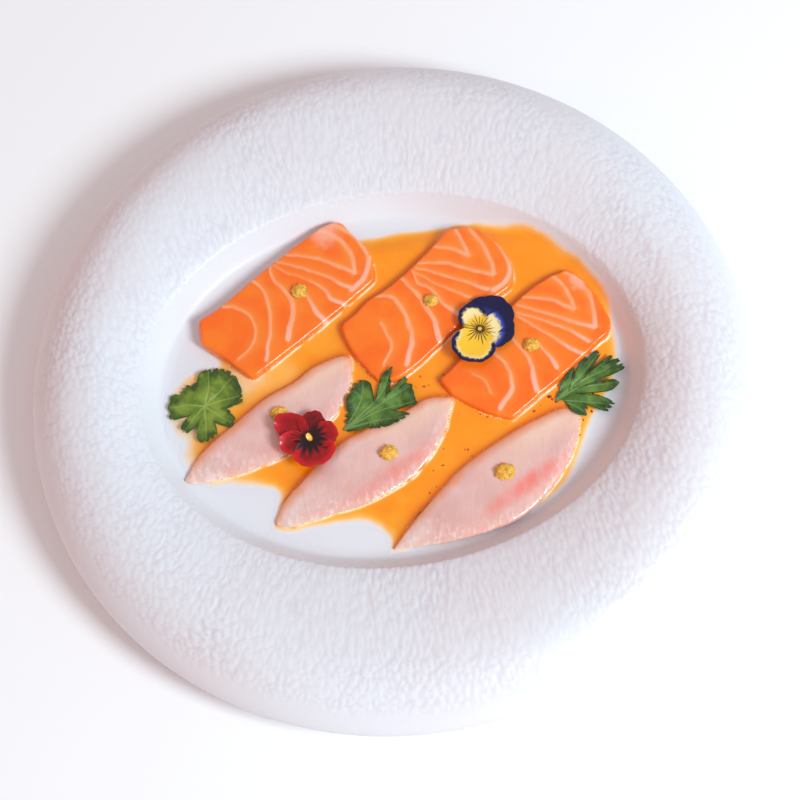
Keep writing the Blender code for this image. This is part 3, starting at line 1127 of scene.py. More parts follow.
@dataclass
class FishSlice:
    """Slice of fish on its own outline, as thick as the solid it stands for."""

    node: str
    outline: Outline
    direction: float
    faces: int = 190
    rounding: float = 0.0013
    rim_share: float = 0.55
    clearance: float = 0.0003
    seed: float = 1.0

    def thickness(self) -> float:
        """Thickness of the slice where it lies flat."""
        low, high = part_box(self.node)
        return high[2] - low[2]

    def own_frame(self, points: np.ndarray) -> np.ndarray:
        """Places measured along and across the slice from its solid's middle, in millimetres.

        Args:
            points: Places, one row each.

        Returns:
            Along and across, one row for each place.
        """
        low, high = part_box(self.node)
        turn = math.radians(self.direction)
        away = (points[:, :2] - np.array([low[0] + high[0], low[1] + high[1]]) / 2) / MM
        along = away[:, 0] * math.cos(turn) + away[:, 1] * math.sin(turn)
        across = away[:, 1] * math.cos(turn) - away[:, 0] * math.sin(turn)
        return np.stack([along, across], axis=1)

    def top_height(self, depth: np.ndarray) -> np.ndarray:
        """Height of the upper face for a distance in from the edge: rounded, then nearly flat.

        Args:
            depth: Distances from the edge.

        Returns:
            A height for each distance.
        """
        turned = np.clip(depth / self.rounding, 0.0, 1.0)
        rise = np.sqrt(np.clip(1.0 - (1.0 - turned) ** 2, 0.0, 1.0))
        return self.thickness() * (self.rim_share + (1.0 - self.rim_share) * rise)

    def slab(self) -> tuple[bpy.types.Object, np.ndarray]:
        """Makes a flat slab with rounded upper edges and a slightly smaller base.

        Returns:
            The slab, and the distance of each corner from the slab's edge.
        """
        piece = grid_piece(f"{self.node}_slice", self.faces, self.faces)
        plan = self.outline.spread(disc_points(points_of(piece)[:, :2]))
        flat = np.column_stack([plan, np.zeros(len(plan))])
        flat[:, 2] = self.top_height(np.maximum(self.outline.signed(flat), 0.0))
        place_points(piece, flat)
        enter_edit(piece)
        bpy.ops.mesh.select_all(action="DESELECT")
        bpy.ops.mesh.select_mode(type="EDGE")
        bpy.ops.mesh.select_non_manifold()
        centre = (self.outline.middle[0], self.outline.middle[1], 0.0)
        drop = self.thickness() * self.rim_share / 3
        for shrink in (1.0, 0.998, 0.985):
            bpy.ops.mesh.extrude_edges_move(TRANSFORM_OT_translate={"value": (0, 0, -drop)})
            bpy.ops.transform.resize(value=(shrink, shrink, 1.0), center_override=centre)
        bpy.ops.mesh.edge_face_add()
        bpy.ops.mesh.select_all(action="SELECT")
        bpy.ops.mesh.normals_make_consistent(inside=False)
        leave_edit()
        return piece, np.maximum(self.outline.signed(points_of(piece)), 0.0)

    def lay(self, piece: bpy.types.Object, ground: Ground, relief: np.ndarray) -> None:
        """Lets the slab follow the well, a hair above it, with its own relief on top.

        Args:
            piece: The slab.
            ground: Surfaces to lie on, of which the first is the plate.
            relief: What is added to the top.
        """
        points = points_of(piece)
        lift = points[:, 2] - points[:, 2].min()
        bed = ground.heights(points, last=1)
        points[:, 2] = bed + self.clearance + lift + relief * np.clip(lift / self.thickness(), 0.0, 1.0)
        place_points(piece, points)

    def enter(
        self, piece: bpy.types.Object, slot: str, material: bpy.types.Material, ground: Ground
    ) -> None:
        """Shades, dresses and enters the slice, and lets later pieces lie on it.

        Args:
            piece: The finished slice.
            slot: Its material slot.
            material: Its finish.
            ground: Surfaces to lie on, which the slice joins.
        """
        round_shade(piece, 80.0)
        hand_over(piece, slot, self.node, material)
        ground.add(piece)


@dataclass
class FatLine:
    """Line of fat across a salmon slice.

    Stops are (along, across) in millimetres from the slice's middle, with a half width at each end.
    """

    stops: Sequence[tuple[float, float]]
    start_width: float = 0.45
    end_width: float = 0.6
    strength: float = 1.0

    def shares(self, places: np.ndarray) -> tuple[np.ndarray, np.ndarray]:
        """How much of the line covers each place, and how much of its soft side does.

        Args:
            places: Places along and across the slice.

        Returns:
            The two shares for each place.
        """
        gap, walked, side = line_distance(places, curve_through(self.stops, 8))
        width = self.start_width + (self.end_width - self.start_width) * walked
        core = smooth_step(0.50, -0.40, gap - width) * self.strength
        soft = np.exp(-np.maximum(gap - width, 0.0) / 1.5) * (0.55 + 0.45 * side) * self.strength
        return core, soft


@dataclass
class SalmonSlice(FishSlice):
    """Salmon slice with its fat lines and a paler patch near one corner."""

    lines: Sequence[FatLine] = ()
    pale_spot: tuple[float, float, float] = (30.0, 12.0, 0.0)

    def build(self, finish: bpy.types.Material, ground: Ground) -> None:
        """Makes, marks and dresses the slice.

        Args:
            finish: Its material.
            ground: Surfaces to lie on, which the slice joins.
        """
        piece, _ = self.slab()
        points = points_of(piece)
        places = self.own_frame(points)
        wander = np.stack([
            waves(points, 0.006, self.seed + 0.3),
            waves(points, 0.006, self.seed + 5.3),
        ], axis=1)
        fat = np.zeros(len(points))
        soft = np.zeros(len(points))
        for line in self.lines:
            core, side = line.shares(places + wander * 0.5)
            fat = np.maximum(fat, core)
            soft = np.maximum(soft, side)
        swell = waves(points, 0.016, self.seed) * 0.00022
        self.lay(piece, ground, swell + fat * 0.00007)
        store_values(piece, "fat", fat)
        store_values(piece, "soft", soft)
        ends = fat * smooth_step(-5.0, -14.0, places[:, 1])
        store_values(piece, "pale", np.maximum(self.pale_patch(points, places) * 0.6, ends * 0.85))
        self.enter(piece, "salmon_flesh", finish, ground)

    def pale_patch(self, points: np.ndarray, places: np.ndarray) -> np.ndarray:
        """How much of the paler patch covers each place.

        Args:
            points: Corners of the slab.
            places: The same corners along and across the slice.

        Returns:
            A share for each corner.
        """
        along, across, size = self.pale_spot
        if not size:
            return np.zeros(len(points))
        spot = np.hypot(places[:, 0] - along, places[:, 1] - across)
        return smooth_step(size, size * 0.3, spot + waves(points, 0.003, self.seed + 7.0) * 2.0)


@dataclass
class WhiteSlice(FishSlice):
    """White fish slice: thin and pointed, with ripples near its near side and tip."""

    rounding: float = 0.0050
    rim_share: float = 0.44
    ripple: float = 0.00030
    ripple_size: float = 0.0015
    lean: float = 28.0
    rosy_spot: tuple[float, float, float, float] = (9.0, -11.5, 30.0, 5.5)
    rosy_strength: float = 0.5

    def build(self, finish: bpy.types.Material, ground: Ground) -> None:
        """Makes, ripples and dresses the slice.

        Args:
            finish: Its material.
            ground: Surfaces to lie on, which the slice joins.
        """
        piece, depth = self.slab()
        points = points_of(piece)
        places = self.own_frame(points)
        low = places[:, 0].min()
        tip = smooth_step(low + 30.0, low + 6.0, places[:, 0]) * smooth_step(3.5, -1.5, places[:, 1])
        near = smooth_step(0.0062, 0.0025, depth) * smooth_step(0.0, -6.0, places[:, 1])
        ripples_and_glint = np.clip(tip + near * 0.5, 0.0, 1.0)
        turned = self.leaning(places)
        ripples = waves(turned, self.ripple_size, self.seed + 2.0, 3)
        swell = waves(points, 0.013, self.seed) * 0.00028
        flat = 0.42 + 0.58 * smooth_step(low, low + 30.0, places[:, 0])
        points[:, 2] = points[:, 2].min() + (points[:, 2] - points[:, 2].min()) * flat * 0.92
        place_points(piece, points)
        self.lay(piece, ground, swell + ripples * self.ripple * ripples_and_glint)
        # stores painted highlights on the ripple crests, for the glints
        store_values(piece, "ripples_and_glint", ripples_and_glint * smooth_step(0.1, 0.6, ripples + 0.1))
        self.tint(piece, points, places, depth)
        store_values(piece, "rosy", self.rosy_side(places, turned))
        self.enter(piece, "white_flesh", finish, ground)

    def leaning(self, places: np.ndarray) -> np.ndarray:
        """Turns places to the lean of the ripples and draws them out along it.

        Args:
            places: Places along and across the slice, in millimetres.

        Returns:
            Places in metres, for the ripples and the rosy streaks.
        """
        lean = math.radians(self.lean)
        return np.column_stack([
            places[:, 0] * math.cos(lean) - places[:, 1] * math.sin(lean),
            (places[:, 0] * math.sin(lean) + places[:, 1] * math.cos(lean)) * 0.50,
            np.zeros(len(places)),
        ]) * MM

    def tint(
        self, piece: bpy.types.Object, points: np.ndarray, places: np.ndarray, depth: np.ndarray
    ) -> None:
        """Stores where the slice is thin, where it ends and where it is creamy.

        Args:
            piece: The slice.
            points: Its corners before it was laid.
            places: The same corners along and across the slice.
            depth: Their distance from the edge.
        """
        low = places[:, 0].min()
        upper = smooth_step(-3.0, 3.0, places[:, 1] + waves(points, 0.008, self.seed + 6.0) * 4)
        sheer = smooth_step(0.0052, 0.0002, depth + waves(points, 0.006, self.seed + 8.0) * 0.0012)
        store_values(piece, "thin", sheer * (0.25 + 0.75 * upper))
        end = places[:, 0] + waves(points, 0.008, self.seed + 12.0) * 5
        store_values(piece, "ending", smooth_step(low + 20.0, low + 1.0, end))
        creamy = smooth_step(-5.0, 28.0, places[:, 0]) * smooth_step(-8.0, 3.0, places[:, 1])
        store_values(piece, "creamy", creamy)

    def rosy_side(self, places: np.ndarray, turned: np.ndarray) -> np.ndarray:
        """How rosy each corner is.

        Args:
            places: Corners along and across the slice.
            turned: The same corners, turned to the lean of the streaks.

        Returns:
            A share for each corner.
        """
        along, across, length, width = self.rosy_spot
        away = np.hypot((places[:, 0] - along) / length, (places[:, 1] - across) / width)
        streaks = 0.65 + 0.35 * smooth_step(-0.25, 0.35, waves(turned, 0.005, self.seed + 9.0))
        return smooth_step(1.0, 0.1, away) * streaks * self.rosy_strength


# ---------------------------------------------------------------- sauce


@dataclass(frozen=True)
class Shallow:
    """Round place in millimetres where the sauce is thinner, by a share of its depth."""

    x: float
    y: float
    radius: float
    amount: float


@dataclass
class SaucePool:
    """Shallow orange sauce that stands round the slices and runs out thin at its edge."""

    outline: Outline
    level: float
    shallows: Sequence[Shallow] = ()
    step: float = 0.00044
    fade: float = 0.0056
    slope: float = 0.0110
    film: float = 0.00005
    meniscus: float = 0.00045
    climb: float = 0.0008
    hidden: float = 0.0022
    ragged: float = 0.0011
    shadow: float = 0.0015

    def sheet(self, slices: Sequence[Outline]) -> bpy.types.Object:
        """Flat sheet over the pool, open where slices cover it.

        Args:
            slices: Outlines of the slices that stand in it.

        Returns:
            The sheet.
        """
        low, high = self.outline.edge.min(axis=0), self.outline.edge.max(axis=0)
        length, width = (high - low) / 2
        piece = grid_piece("sauce_pool", int(2 * length / self.step), int(2 * width / self.step))
        plan = (low + high) / 2 + points_of(piece)[:, :2] * np.array([length, width])
        flat = np.column_stack([plan, np.zeros(len(plan))])
        place_points(piece, flat)
        under = np.max([outline.inside(flat) for outline in slices], axis=0)
        choose(piece, Element.CORNERS, (under > self.hidden) | (self.outline.inside(flat) < -MM))
        bpy.ops.mesh.delete(type="VERT")
        leave_edit()
        return piece

    def shares(self, points: np.ndarray) -> tuple[np.ndarray, np.ndarray]:
        """How deep the sauce looks, and how high it stands, as shares of its full depth.

        Args:
            points: Places on the sheet.

        Returns:
            The two shares for each place.
        """
        reach = self.outline.signed(points) + waves(points, 0.013, 3.0, 3) * self.ragged
        depth = smooth_step(0.0, self.fade, reach)
        stand = smooth_step(0.0, self.slope, reach)
        for shallow in self.shallows:
            away = np.hypot(points[:, 0] / MM - shallow.x, points[:, 1] / MM - shallow.y)
            thinner = 1 - shallow.amount * smooth_step(shallow.radius, shallow.radius * 0.2, away)
            depth = depth * thinner
            stand = stand * (0.35 + 0.65 * thinner)
        return depth, stand

    def build(self, finish: SauceFinish, ground: Ground, slices: Sequence[Outline]) -> None:
        """Makes and dresses the pool.

        Args:
            finish: Colours of the sauce.
            ground: Surfaces under it; the first is the plate.
            slices: Outlines of the slices that stand in it.
        """
        piece = self.sheet(slices)
        points = points_of(piece)
        gap, away = nearest_edge(points, slices)
        inward = np.max([outline.inside(points) for outline in slices], axis=0) > 0
        gap = np.where(inward, 0.0, gap)
        away = np.where(inward[:, None], -away, away)
        depth, stand = self.shares(points)
        wet = smooth_step(0.02, 0.35, depth)
        far_side = smooth_step(-0.35, 0.75, away @ np.array([-0.62, 0.78]))
        near_side = smooth_step(0.55, 0.90, away @ np.array([0.60, -0.80]))
        bed = ground.heights(points, last=1)
        points[:, 2] = bed + self.film + np.clip(self.level - bed, 0.0, None) * stand
        points[:, 2] += self.meniscus * wet * np.exp(-gap / self.climb)
        place_points(piece, points)
        store_values(piece, "depth", depth)
        # painted shadow in the sauce along the slices' far side
        store_values(piece, "contact_shadow", np.exp(-gap / self.shadow) * far_side * wet)
        broken = smooth_step(-0.45, 0.05, waves(points, 0.007, 21.0))
        # painted highlight: a broken cream line on the sauce along the slices' near side
        store_values(piece, "painted_highlight", smooth_step(0.00100, 0.00035, gap) * near_side * broken * wet)
        enter_edit(piece)
        bpy.ops.mesh.normals_make_consistent(inside=False)
        leave_edit()
        if vertex_normals(piece)[:, 2].mean() < 0:
            enter_edit(piece)
            bpy.ops.mesh.flip_normals()
            leave_edit()
        round_shade(piece, 80.0)
        hand_over(piece, "orange_sauce", "sauce", finish.material())
        ground.add(piece)


# ---------------------------------------------------------------- coriander


@dataclass
class CorianderLeaf:
    """Coriander leaf: one toothed blade with veins from its heart, laid on what is under it."""

    node: str
    outline: Outline
    veins: Sequence[Sequence[tuple[float, float]]]
    teeth: int = 40
    tooth: float = 0.07
    seed: float = 1.0
    faces: int = 120
    thickness: float = 0.00022
    lift: float = 0.0005
    stiffness: float = 0.5
    vein_width: float = 0.00022
    valley: float = 0.0007
    swell: float = 0.0008

    def notched(self, disc: np.ndarray) -> np.ndarray:
        """Carries the unit disc into the blade, with small teeth cut into its edge.

        Args:
            disc: Points of the unit disc.

        Returns:
            Places of the blade, seen from above.
        """
        angle = np.arctan2(disc[:, 1], disc[:, 0])
        bent = angle / 2 + 0.11 * np.sin(angle * 5 + self.seed)
        notches = (1 - np.abs(np.sin(bent * self.teeth))) ** 2 * self.tooth
        notches += (1 - np.abs(np.sin(bent * self.teeth * 2.7 + 1.0))) ** 2 * self.tooth * 0.4
        kept = 1 - notches * smooth_step(0.45, 1.0, np.hypot(disc[:, 0], disc[:, 1]))
        return self.outline.middle + (self.outline.spread(disc) - self.outline.middle) * kept[:, None]

    def veined(self, plan: np.ndarray) -> tuple[np.ndarray, np.ndarray]:
        """How much of a vein covers each place, and how deep the blade folds in along it.

        Args:
            plan: Places of the blade, seen from above.

        Returns:
            The two shares for each place.
        """
        vein = np.zeros(len(plan))
        fold = np.zeros(len(plan))
        for stops in self.veins:
            gap, walked, _ = line_distance(plan, curve_through(np.array(stops) * MM, 6))
            width = self.vein_width * (1.15 - walked)
            vein = np.maximum(vein, smooth_step(0.00030, 0.0, gap - width) * (1.0 - 0.5 * walked))
            fold = np.maximum(fold, np.exp(-gap / 0.0016) * (1.1 - walked))
            branch = np.abs(np.mod(walked * 7 + gap / 0.0042, 1.0) - 0.5) * 2
            vein = np.maximum(vein, smooth_step(0.80, 1.0, branch) * np.exp(-gap / 0.003) * 0.45)
        return vein, fold

    def build(self, finish: bpy.types.Material, ground: Ground) -> None:
        """Makes, lays and dresses the leaf.

        Args:
            finish: Its material.
            ground: Surfaces that it lies on.
        """
        piece = grid_piece(f"{self.node}_leaf", self.faces, self.faces)
        disc = disc_points(points_of(piece)[:, :2])
        share = np.hypot(disc[:, 0], disc[:, 1])
        plan = self.notched(disc)
        points = np.column_stack([plan, np.zeros(len(plan))])
        vein, fold = self.veined(plan)
        under = ground.heights(points)
        level = np.percentile(under, 75) + self.lift
        lying = self.stiffness * np.maximum(under, level) + (1 - self.stiffness) * under
        curl = smooth_step(0.6, 1.0, share) * (0.5 + waves(points, 0.005, self.seed + 3.0))
        wave = waves(points, 0.009, self.seed) * self.swell + 0.0007 * curl
        points[:, 2] = np.maximum(lying + wave - self.valley * fold, under) + self.lift
        rim = smooth_step(0.62, 1.0, share + 0.25 * waves(points, 0.004, self.seed + 5.0))
        place_points(piece, points)
        store_values(piece, "vein", vein)
        store_values(piece, "rim", rim)
        thicken(piece, self.thickness)
        round_shade(piece, 80.0)
        hand_over(piece, "coriander_leaf", self.node, finish)


# ---------------------------------------------------------------- violas


@dataclass
class Petal:
    """Viola petal: direction in degrees, length and width in millimetres, and its place in the stack."""

    direction: float
    length: float
    width: float
    layer: int
    taper: float = 0.45
    wave: float = 0.35
    start: float = -0.5


@dataclass(frozen=True)
class PetalPlaces:
    """Where a petal's corners lie.

    They are measured as distance in millimetres and angle in degrees about the flower's eye, and as
    shares out from the petal's own middle and towards its tip.
    """

    points: np.ndarray
    reach: np.ndarray
    angle: np.ndarray
    out: np.ndarray
    tipwards: np.ndarray


class ViolaKind(Enum):
    """How a viola's petals are painted."""

    PALE_FACE = "pale face in a dark rim"
    DARK_HEART = "dark heart in bright petals"


@dataclass
class Viola:
    """Viola flower: overlapping petals round a small eye."""

    node: str
    kind: ViolaKind
    eye: tuple[float, float]
    petals: Sequence[Petal]
    seed: float = 1.0
    frill: float = 0.010
    faces: int = 72
    step: float = 0.42
    top: float = 0.0275
    thickness: float = 0.00018

    def petal(self, number: int, petal: Petal) -> bpy.types.Object:
        """One petal as a cupped and painted sheet.

        Args:
            number: Which petal it is.
            petal: Its sizes.

        Returns:
            The petal, in its place round the eye but not yet seated.
        """
        piece = grid_piece(f"{self.node}_petal_{number}", self.faces, self.faces)
        disc = disc_points(points_of(piece)[:, :2])
        share = np.hypot(disc[:, 0], disc[:, 1])
        angle = np.arctan2(disc[:, 1], disc[:, 0])
        forward = petal.length * (0.5 + 0.5 * disc[:, 0]) + petal.start
        narrow = petal.taper + (1 - petal.taper) * smooth_step(-1.0, 0.15, disc[:, 0])
        side = petal.width / 2 * disc[:, 1] * narrow
        crimp = np.sin(angle * 7 + self.seed * 3 + number) + 0.7 * np.sin(angle * 12 + number * 2.0)
        frill = 1 + self.frill * crimp * share ** 4
        turn = math.radians(petal.direction)
        x = self.eye[0] + forward * frill * math.cos(turn) - side * frill * math.sin(turn)
        y = self.eye[1] + forward * frill * math.sin(turn) + side * frill * math.cos(turn)
        cup = 0.9 * share ** 2 * (0.4 + 0.6 * smooth_step(-1, 1, disc[:, 0]))
        ruffle = petal.wave * np.sin(angle * 3 + number * 1.7 + self.seed) * share ** 3
        z = petal.layer * self.step + cup + ruffle
        place_points(piece, np.stack([x, y, z], axis=1) * MM)
        points = points_of(piece)
        away = points[:, :2] / MM - np.array(self.eye)
        bearing = np.degrees(np.arctan2(away[:, 1], away[:, 0]))
        places = PetalPlaces(points, np.hypot(away[:, 0], away[:, 1]), bearing, share, disc[:, 0])
        paint = self.pale_face if self.kind is ViolaKind.PALE_FACE else self.dark_heart
        for name, values in paint(number, places).items():
            store_values(piece, name, values)
        return piece

    def pale_face(self, number: int, places: PetalPlaces) -> dict[str, np.ndarray]:
        """Shares of colour for a petal with a yellow or cream face, a navy rim and dark whiskers.

        Args:
            number: Which petal it is.
            places: Where its corners lie.

        Returns:
            The shares by name.
        """
        reach = places.reach
        out = places.out * smooth_step(-1.0, -0.15, places.tipwards)
        ragged = waves(places.points, 0.0012, 4.0) * 0.10
        none = np.zeros(len(out))
        face, cream, mark, glow = none, none, none, none
        rays = [(direction, 6.4 + 1.3 * math.sin(direction)) for direction in range(0, 360, 17)]
        if number == 0:
            face = smooth_step(0.80, 0.62, out + ragged)
            cream = smooth_step(0.86, 0.72, out + ragged)
            mark = whiskers(places, rays, 0.28)
        elif number == 1:
            cream = smooth_step(0.82, 0.62, out + ragged)
            face = smooth_step(7.4, 4.4, reach)
            mark = whiskers(places, rays, 0.18)
        elif number == 2:
            cream = smooth_step(8.8, 7.0, reach + ragged * 8)
            face = smooth_step(5.6, 2.8, reach)
            glow = smooth_step(10.4, 8.4, reach) * (1 - cream)
            mark = whiskers(places, rays, 0.18)
        else:
            glow = smooth_step(11.0, 7.0, reach) * 0.55
        return {"face": face, "cream": cream, "mark": mark, "glow": glow}

    def dark_heart(self, number: int, places: PetalPlaces) -> dict[str, np.ndarray]:
        """Shares of colour for a petal that is yellow at the eye, dark round it and bright at the rim.

        Args:
            number: Which petal it is.
            places: Where its corners lie.

        Returns:
            The shares by name.
        """
        reach = places.reach
        turn = np.radians(places.angle)
        rays = [(direction, 7.2 + 1.5 * math.sin(direction * 2.0)) for direction in range(5, 365, 13)]
        face = smooth_step(1.7, 1.0, reach * (1 + 0.25 * np.sin(turn * 2 + 0.6)))
        inner = (8.4, 4.4, 7.6, 3.4, 3.2)[number] * (1 + 0.20 * np.sin(turn * 15))
        mark = np.maximum(smooth_step(inner, inner * 0.55, reach), whiskers(places, rays, 0.26) * 0.85)
        mark = mark * (1 - face)
        glow = smooth_step(0.55, 1.0, places.out) * (0.9 if number in (0, 1) else 0.6)
        if number == 4:
            mark = np.maximum(mark, 0.45)
        return {"face": face, "cream": np.zeros(len(reach)), "mark": mark, "glow": glow}

    def build(self, finish: bpy.types.Material, slot: str, ground: Ground) -> None:
        """Makes, seats and dresses the flower.

        Args:
            finish: Its material.
            slot: Its material slot.
            ground: Surfaces that it lies on.
        """
        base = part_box(self.node)[0][2] + 0.0002
        made = [self.petal(number, petal) for number, petal in enumerate(self.petals)]
        flower = join_pieces(made, f"{self.node}_flower")
        points = points_of(flower)
        floor = ground.heights(points) + 0.0003
        points[:, 2] = np.maximum(points[:, 2] + base, floor + points[:, 2] * 0.25)
        points[:, 2] = np.minimum(points[:, 2], self.top)
        place_points(flower, points)
        thicken(flower, self.thickness)
        round_shade(flower, 80.0)
        hand_over(flower, slot, self.node, finish)


def whiskers(places: PetalPlaces, rays: Sequence[tuple[float, float]], width: float) -> np.ndarray:
    """Dark lines that run out from the eye.

    Args:
        places: Where the petal's corners lie.
        rays: Direction in degrees and length in millimetres of each line.
        width: Half width of a line, in millimetres.

    Returns:
        How much of a line covers each corner.
    """
    reach = places.reach
    cover = np.zeros(len(reach))
    for direction, length in rays:
        off = (places.angle - direction + 180.0) % 360.0 - 180.0
        aside = np.abs(np.radians(off)) * reach
        line = smooth_step(width + 0.12, width * 0.4, aside + 0.10 * reach / length)
        ends = smooth_step(length, length * 0.75, reach) * smooth_step(0.5, 1.1, reach)
        cover = np.maximum(cover, line * ends)
    return cover


# ---------------------------------------------------------------- paste and specks


@dataclass
class PasteDab:
    """Dab of grainy paste pressed onto a slice."""

    node: str
    seed: float

    def build(self, finish: bpy.types.Material, ground: Ground) -> None:
        """Makes and dresses the dab.

        Args:
            finish: Its material.
            ground: Surfaces that it lies on.
        """
        low, high = np.array(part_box(self.node))
        middle = np.array([*((low + high) / 2)[:2], 0.0])
        half = (high - low) * np.array([0.5, 0.5, 1.0])
        deselect_all()
        bpy.ops.mesh.primitive_ico_sphere_add(subdivisions=6, radius=1.0)
        piece = bpy.context.object
        piece.name = piece.data.name = f"{self.node}_dab"
        ball = points_of(piece)
        lump = 1.0 + waves(ball, 0.75, self.seed) * 0.16 + waves(ball, 0.28, self.seed + 4.0, 3) * 0.13
        grains = waves(ball, 0.10, self.seed + 8.0, 2) * 0.05
        points = ball * (lump + grains)[:, None] * half * 0.93 + middle
        bed = float(ground.heights(middle[None, :])[0])
        points[:, 2] = bed + np.clip(points[:, 2], -0.25 * half[2], None) * 0.80
        place_points(piece, points)
        round_shade(piece, 80.0)
        hand_over(piece, "citrus_paste", self.node, finish)


@dataclass
class Specks:
    """Seasoning specks lying in the sauce, joined into one piece."""

    name: str
    slot: str
    count: int
    size: float
    stretch: float
    region: tuple[float, float, float, float]
    seed: int
    clear: float = 0.0006
    shore: float = 0.0020

    def speck(self, spot: np.ndarray, grow: float, turn: float, number: int) -> bpy.types.Object:
        """One uneven speck.

        Args:
            spot: Where it lies.
            grow: Its size against the usual one.
            turn: Its direction, in radians.
            number: Which speck it is.

        Returns:
            The speck.
        """
        deselect_all()
        bpy.ops.mesh.primitive_ico_sphere_add(subdivisions=2, radius=1.0)
        piece = bpy.context.object
        ball = points_of(piece)
        ball *= (1 + 0.25 * waves(ball, 0.8, number + self.seed))[:, None]
        ball *= np.array([self.size * grow * self.stretch, self.size * grow, self.size * 0.55])
        spun = ball.copy()
        spun[:, 0] = ball[:, 0] * math.cos(turn) - ball[:, 1] * math.sin(turn)
        spun[:, 1] = ball[:, 0] * math.sin(turn) + ball[:, 1] * math.cos(turn)
        place_points(piece, spun + spot)
        return piece

    def build(
        self, finish: SpeckFinish, ground: Ground, slices: Sequence[Outline], pool: Outline
    ) -> None:
        """Scatters and dresses the specks, in the sauce and clear of the slices.

        Args:
            finish: Colours of the specks.
            ground: Surfaces that they lie on.
            slices: Outlines of the slices.
            pool: Outline of the sauce.
        """
        chance = np.random.default_rng(self.seed)
        left, right, near, far = self.region
        pieces = []
        while len(pieces) < self.count:
            spot = np.array([chance.uniform(left, right), chance.uniform(near, far), 0.0]) * MM
            grow = chance.uniform(0.5, 1.25)
            turn = chance.uniform(0, math.tau)
            inside = max(float(outline.inside(spot[None, :])[0]) for outline in slices)
            if inside > -self.clear or float(pool.inside(spot[None, :])[0]) < self.shore:
                continue
            spot[2] = float(ground.heights(spot[None, :])[0])
            pieces.append(self.speck(spot, grow, turn, len(pieces)))
        piece = join_pieces(pieces, self.name)
        round_shade(piece, 60.0)
        hand_over(piece, self.slot, None, finish.material())


# ---------------------------------------------------------------- studio


@dataclass
class Studio:
    """Camera, floor and lights round the finished plate."""

    elevation: float = 66.8
    roll: float = 7.21
    distance: float = 0.80
    lens: float = 93.5
    aim: tuple[float, float, float] = (0.00217, -0.00908, 0.0140)

    def camera(self) -> None:
        """Stands the camera in front of the plate, looking down on it."""
        rise = math.radians(self.elevation)
        tip = math.radians(self.roll)
        back = Vector((0.0, -math.cos(rise), math.sin(rise)))
        up = Vector((math.sin(tip), math.cos(tip) * math.sin(rise), math.cos(tip) * math.cos(rise)))
        right = up.cross(back).normalized()
        data = bpy.data.cameras.new("camera")
        data.lens = self.lens
        data.sensor_width = 36.0
        data.clip_start = 0.01
        camera = bpy.data.objects.new("camera", data)
        bpy.context.scene.collection.objects.link(camera)
        turn = np.array([right, up, back]).T
        matrix = np.eye(4)
        matrix[:3, :3] = turn
        matrix[:3, 3] = np.array(self.aim) + np.array(back) * self.distance
        camera.matrix_world = Matrix(matrix.tolist())
        bpy.context.scene.camera = camera

    def floor(self) -> None:
        """Lays a plain pale floor under the plate."""
        deselect_all()
        bpy.ops.mesh.primitive_plane_add(size=6.0)
        floor = bpy.context.object
        floor.name = "studio_floor"
        made = Shader("pale_floor")
        made.main(Base_Color=shade(250, 249, 250), Roughness=0.8, Specular_IOR_Level=0.1)
        floor.data.materials.append(made.material)

    def lamp(self, name: str, spot: Sequence[float], size: float, power: float, colour: Colour) -> None:
        """Hangs one soft light that faces the plate.

        Args:
            name: Its name.
            spot: Where it hangs.
            size: Width of its disc.
            power: Its power in watts.
            colour: Its colour.
        """
        data = bpy.data.lights.new(name, "AREA")
        data.shape = "DISK"
        data.size = size
        data.energy = power
        data.color = colour
        lamp = bpy.data.objects.new(name, data)
        bpy.context.scene.collection.objects.link(lamp)
        lamp.location = spot
        lamp.rotation_euler = (-Vector(spot)).to_track_quat("-Z", "Y").to_euler()

    def world(self, left: Colour, right: Colour) -> None:
        """Fills the room with soft light that turns from one colour on the left to another on the right.

        Args:
            left: Colour on the left.
            right: Colour on the right.
        """
        room = bpy.data.worlds.new("room")
        bpy.context.scene.world = room
        room.use_nodes = True
        nodes, links = room.node_tree.nodes, room.node_tree.links
        place = nodes.new("ShaderNodeTexCoord")
        toward = nodes.new("ShaderNodeVectorMath")
        toward.operation = "DOT_PRODUCT"
        toward.inputs[1].default_value = (0.86, -0.20, 0.46)
        share = nodes.new("ShaderNodeMapRange")
        share.inputs["From Min"].default_value = -1.0
        ramp = nodes.new("ShaderNodeMix")
        ramp.data_type = "RGBA"
        ramp.inputs["A"].default_value = (*left, 1.0)
        ramp.inputs["B"].default_value = (*right, 1.0)
        links.new(place.outputs["Generated"], toward.inputs[0])
        links.new(toward.outputs["Value"], share.inputs["Value"])
        links.new(share.outputs["Result"], ramp.inputs["Factor"])
        links.new(ramp.outputs["Result"], nodes["Background"].inputs["Color"])

    def build(self) -> None:
        """Sets up the whole studio."""
        self.camera()
        self.floor()
        self.lamp("window", (0.95, -0.75, 0.95), 0.55, 21.5, (0.80, 0.95, 1.0))
        self.world((0.92, 0.48, 0.36), (0.40, 0.53, 0.61))
        bpy.context.scene.view_settings.view_transform = "Standard"


# ---------------------------------------------------------------- the dish


